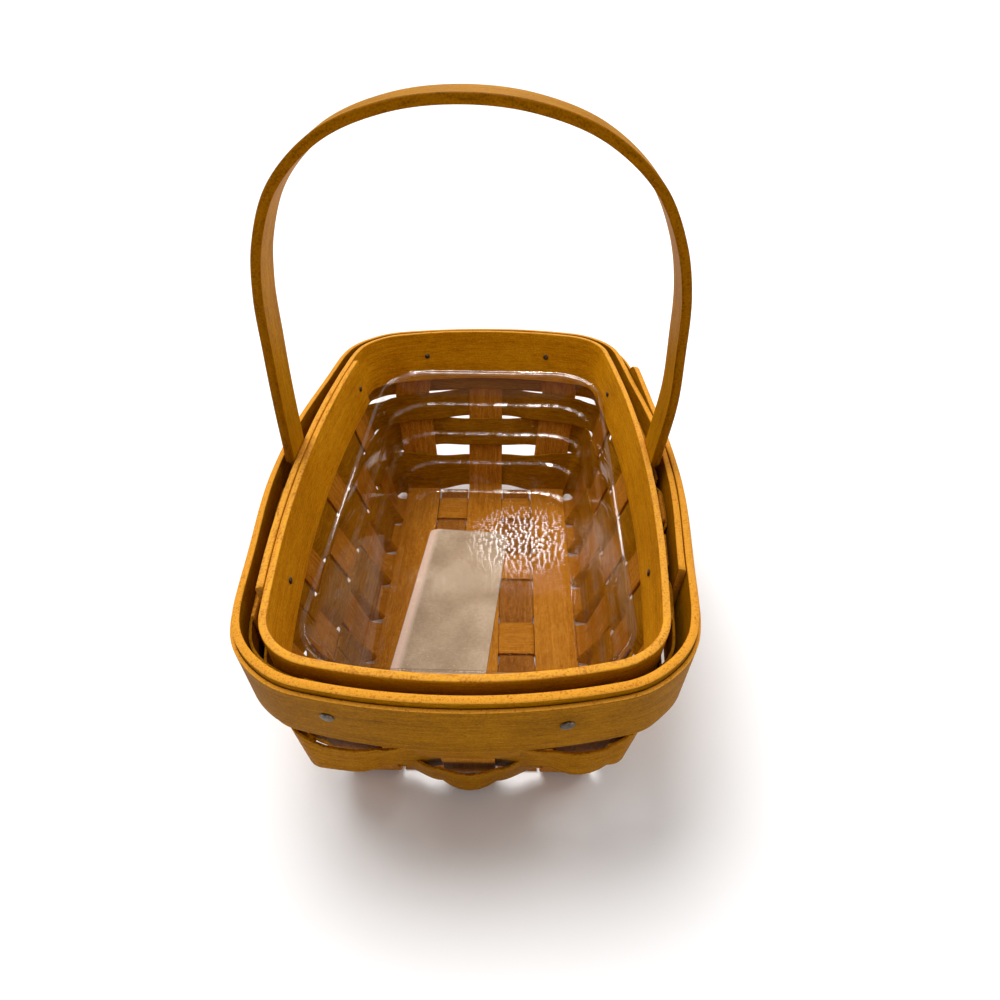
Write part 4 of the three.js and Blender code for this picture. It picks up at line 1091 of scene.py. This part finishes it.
def clear_plastic():
    """A thin clear wall: see-through and stippled on its floor, and mirror-like in painted highlights:
    lines along its rim and ledges and a glint patch on its floor.
    """
    material, tree = new_material("liner_clear")
    at = object_place(tree)
    spot = node(tree, "ShaderNodeSeparateXYZ", {0: at}).outputs
    low = mask(tree, times(tree, spot["Z"], 15.0), (0.0, 1), (0.78, 0.12))
    base = mask(tree, times(tree, spot["Z"], 100.0), (0.48, 1), (0.58, 0))

    # Stipple all over the floor, mirror-like only in a painted glint patch on its far right part, and waves
    # in the walls above the floor
    dots = node(tree, "ShaderNodeTexVoronoi", {
        "Vector": scaled(tree, at, (400, 560, 1)), "Scale": 1.0, "Randomness": 0.85},
        voronoi_dimensions="2D")
    bead = mask(tree, dots.outputs["Distance"], (0.0, 1), (0.42, 0))
    # Painted glints: a round patch on the floor's far right part where the stipple is made mirror-like, so
    # that its dots glint there
    from_patch = node(tree, "ShaderNodeVectorMath", {0: at, 1: (-0.017, -0.036, -0.003)}, operation="ADD")
    reach = node(tree, "ShaderNodeVectorMath", {0: from_patch.outputs[0]}, operation="LENGTH")
    patch = mask(tree, times(tree, reach.outputs["Value"], 30.0), (0.18, 1), (0.75, 0))
    patch = times(tree, patch, base)
    wave = scaled_noise(tree, at, (60, 60, 30), 2.0, 0.5)
    ripple = node(tree, "ShaderNodeTexWave", {
        "Vector": at, "Scale": 26.0, "Distortion": 3.0, "Detail": 1.0},
        bands_direction="DIAGONAL").outputs["Fac"]
    calm = minus(tree, low, times(tree, base, 0.85), clamp=True)
    height = weighted(tree, (times(tree, wave, calm), 0.9), (times(tree, bead, base), 0.75),
                      (times(tree, ripple, calm), 0.25))
    normal = bump(tree, 0.5, 0.0009, height)
    facing = node(tree, "ShaderNodeLayerWeight", {"Blend": 0.5, "Normal": normal}).outputs["Facing"]
    steep = maths(tree, "POWER", facing, 4.0)

    # Painted highlights: bright lines along the rim, strongest at the far end, and broken ones along the
    # ledges, strongest on the right; only these bands are made mirror-like, where their glints are to show
    glint_breaks = mask(tree, scaled_noise(tree, at, (230, 130, 20), 3.0, 0.65), (0.47, 0.04), (0.58, 1))
    lift = minus(tree, times(tree, spot["Z"], 1000.0), LINER_REST + LINER_HEIGHT - 4.0)
    rim = mask(tree, times(tree, lift, 0.25), (0.0, 0), (0.54, 0), (0.58, 1), (0.63, 1), (0.67, 0.1),
               (0.86, 0.1), (0.93, 1))
    far_end_glints = mask(tree, plus(tree, times(tree, spot["Y"], 5.0), 0.5), (0.1, 0), (0.19, 0.4), (0.7, 0.4),
                  (0.88, 1))
    rim = times(tree, times(tree, rim, far_end_glints), plus(tree, times(tree, glint_breaks, 0.6), 0.4))
    rise = minus(tree, times(tree, spot["Z"], 1000.0), LINER_REST + LINER_FIRST_STEP - 0.35)
    in_step = maths(tree, "FRACT", maths(tree, "DIVIDE", rise, LINER_STEP_PITCH))
    ledge_highlight = mask(tree, in_step, (0.0, 1), (0.07, 1), (0.09, 0))
    below = mask(tree, times(tree, spot["Z"], 20.0), (0.98, 1), (1.0, 0))
    right_side_glints = mask(tree, plus(tree, times(tree, spot["X"], 10.0), 0.5), (0.5, 0.16), (0.62, 1), (0.74, 1),
                    (0.86, 0.16))
    ledge_highlight = times(tree, ledge_highlight, below, glint_breaks, right_side_glints)

    # Mirror share: a little more at grazing angles, much more in the painted highlights and the painted
    # glint patch, almost none on the rest of the floor
    share = plus(tree, times(tree, steep, 0.36), 0.012)
    share = plus(tree, share, times(tree, rim, 0.15), times(tree, ledge_highlight, 0.4))
    plain_floor = minus(tree, base, patch, clamp=True)
    share = times(tree, share, minus(tree, 1.0, times(tree, plain_floor, 0.8)))
    share = plus(tree, share, times(tree, patch, bead, 0.85))
    tint = ramp(tree, steep, (0.0, (0.99, 0.985, 0.985, 1)), (1.0, (0.72, 0.65, 0.60, 1)))
    clear = node(tree, "ShaderNodeBsdfTransparent", {"Color": tint})
    gloss = node(tree, "ShaderNodeBsdfAnisotropic", {
        "Color": (1.0, 0.93, 0.85, 1), "Normal": normal,
        "Roughness": plus(tree, times(tree, patch, 0.14), 0.05)})
    mixed = node(tree, "ShaderNodeMixShader", {0: share, 1: clear.outputs[0], 2: gloss.outputs[0]})
    node(tree, "ShaderNodeOutputMaterial", {"Surface": mixed.outputs[0]})
    return material


def liner_outline(half_width, half_length, radius, z):
    """A rectangle with rounded corners, in as many points at every height."""
    corners = ((1, 1), (-1, 1), (-1, -1), (1, -1))

    def corner_point(k, angle):
        sx, sy = corners[k % 4]
        return Vector((sx * (half_width - radius) + radius * math.cos(angle),
                       sy * (half_length - radius) + radius * math.sin(angle), z))

    points = []
    for k in range(4):
        points += [corner_point(k, (k + i / 14) * math.pi / 2) for i in range(15)]
        straight = 14 if k % 2 else 8
        last, target = points[-1], corner_point(k + 1, (k + 1) % 4 * math.pi / 2)
        points += [last.lerp(target, i / straight) for i in range(1, straight)]
    return points


def liner():
    steps = [LINER_FIRST_STEP + i * LINER_STEP_PITCH for i in range(LINER_STEPS)]

    def inset_at(z):
        return LINER_LIP + sum(1 for step in steps if z < step) * LINER_LEDGE

    def profile(wall, floor, lip):
        """The wall from floor to lip, as (inset, height)."""
        low = inset_at(0) + wall
        r = LINER_BASE_ROUND
        stops = []
        for i in range(7):
            a = math.pi / 2 * i / 6
            stops.append((low + r - r * math.sin(a), floor + r - r * math.cos(a)))
        for step in steps:
            a, b = inset_at(step - 0.1) + wall, inset_at(step + 0.1) + wall
            if step > floor + r + 0.3:
                stops.append((a, step - 0.45))
            stops += [(a, step - 0.12), (a - 0.12, step + 0.05), ((a + b) / 2, step + 0.22),
                      (b + 0.1, step + 0.42), (b, step + 0.6), (b, step + 1.0)]
        return stops + lip

    under = LINER_HEIGHT - LINER_LIP_DEPTH
    outside = profile(0, 0, [
        (LINER_LIP, under - 0.3), (LINER_LIP - 0.1, under), (0.25, under + 0.15), (0, under + 0.4),
        (0, LINER_HEIGHT - 0.45), (0.15, LINER_HEIGHT - 0.1), (0.45, LINER_HEIGHT)])
    inner = LINER_LIP + LINER_WALL
    inside = profile(LINER_WALL, LINER_WALL, [
        (inner, LINER_HEIGHT - 0.6), (inner - 0.2, LINER_HEIGHT - 0.15), (inner - 0.6, LINER_HEIGHT)])
    turn = Matrix.Rotation(math.radians(LINER_TURN), 3, "Z")
    base = Vector((LINER_SHIFT_X, 0, LINER_REST))
    rings = []
    for inset, z in outside + inside[::-1]:
        drop = LINER_HEIGHT - z
        outline = liner_outline(
            LINER_HALF_WIDTH - inset - LINER_SIDE_TAPER * drop,
            LINER_HALF_LENGTH - inset - LINER_END_TAPER * drop,
            LINER_CORNER_RADIUS - 0.6 * inset - 0.5 * LINER_SIDE_TAPER * drop, z)
        rings.append([base + turn @ p for p in outline])
    section = [(math.cos(k), math.sin(k), 0.0) for k in range(len(rings[0]))]
    skin("clear_liner", rings, section, clear_plastic(), body="liner", replaces="liner",
         seed=91)


liner()


# Floor, light and camera

scene = bpy.context.scene


def pale_floor():
    material, tree = new_material("floor_pale")
    finish_material(tree, {
        "Base Color": (0.93, 0.93, 0.93, 1), "Roughness": 0.9, "Specular IOR Level": 0.2})
    mesh = bpy.data.meshes.new("floor")
    size, level = 6.0, -0.0002
    corners = ((-size, -size), (size, -size), (size, size), (-size, size))
    mesh.from_pydata([(x, y, level) for x, y in corners], [], [(0, 1, 2, 3)])
    mesh.materials.append(material)
    floor = bpy.data.objects.new("floor", mesh)
    scene.collection.objects.link(floor)
    floor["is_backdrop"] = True


def lamp(name, kind, power, way, at=(0, 0, 0)):
    """A lamp that shines along way. Returns the object and its data."""
    data = bpy.data.lights.new(name, kind)
    data.energy = power
    made = bpy.data.objects.new(name, data)
    made.location = at
    made.rotation_euler = Vector(way).to_track_quat("-Z", "Y").to_euler()
    scene.collection.objects.link(made)
    return made, data


def window(name, at, target, width, height, power, glint_only=False):
    made, data = lamp(name, "AREA", power, Vector(target) - Vector(at), at)
    data.shape = "RECTANGLE"
    data.size = width
    data.size_y = height
    made.visible_diffuse = not glint_only


def camera():
    place_at = Vector((0.010845, -0.213249, 0.204573))
    yaw, pitch, roll, focal_px = -0.014, 0.628, 0.001, 748.29
    photo_px, sensor_mm = 1000, 36.0
    ahead = Vector((math.sin(yaw) * math.cos(pitch), math.cos(yaw) * math.cos(pitch), -math.sin(pitch)))
    level = Vector((math.cos(yaw), -math.sin(yaw), 0))
    upright = level.cross(ahead)
    right = level * math.cos(roll) + upright * math.sin(roll)
    up = upright * math.cos(roll) - level * math.sin(roll)
    data = bpy.data.cameras.new("camera")
    data.sensor_fit = "HORIZONTAL"
    data.sensor_width = sensor_mm
    data.lens = focal_px / photo_px * sensor_mm
    data.clip_start = 0.005
    data.clip_end = 50
    made = bpy.data.objects.new("camera", data)
    made.matrix_world = Matrix((
        (right.x, up.x, -ahead.x, place_at.x),
        (right.y, up.y, -ahead.y, place_at.y),
        (right.z, up.z, -ahead.z, place_at.z),
        (0, 0, 0, 1)))
    scene.collection.objects.link(made)
    scene.camera = made


pale_floor()
scene.view_settings.view_transform = "Standard"
scene.view_settings.look = "None"
scene.view_settings.exposure = 0.0
scene.world = bpy.data.worlds.new("studio")
scene.world.use_nodes = True
background = scene.world.node_tree.nodes["Background"]
background.inputs["Color"].default_value = (1, 1, 1, 1)
background.inputs["Strength"].default_value = 0.5
lamp("soft_sun", "SUN", 2.7, (0.3, -0.3, -1))[1].angle = 0.75
window("right_window", (0.9, 0.42, 0.72), (0, 0, 0.04), 0.6, 0.6, 3.6)
window("far_window", (0.03, 1.10, 0.93), (0.01, 0.03, 0.03), 0.5, 0.14, 2.6, glint_only=True)
window("top_window", (0.08, 0.60, 1.28), (0.018, 0.03, 0.003), 0.16, 0.14, 13.0, glint_only=True)
camera()

boxes = {"cad": cad_box, "visual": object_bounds()}
{name: [list(map(float, corner)) for corner in box] for name, box in boxes.items()}
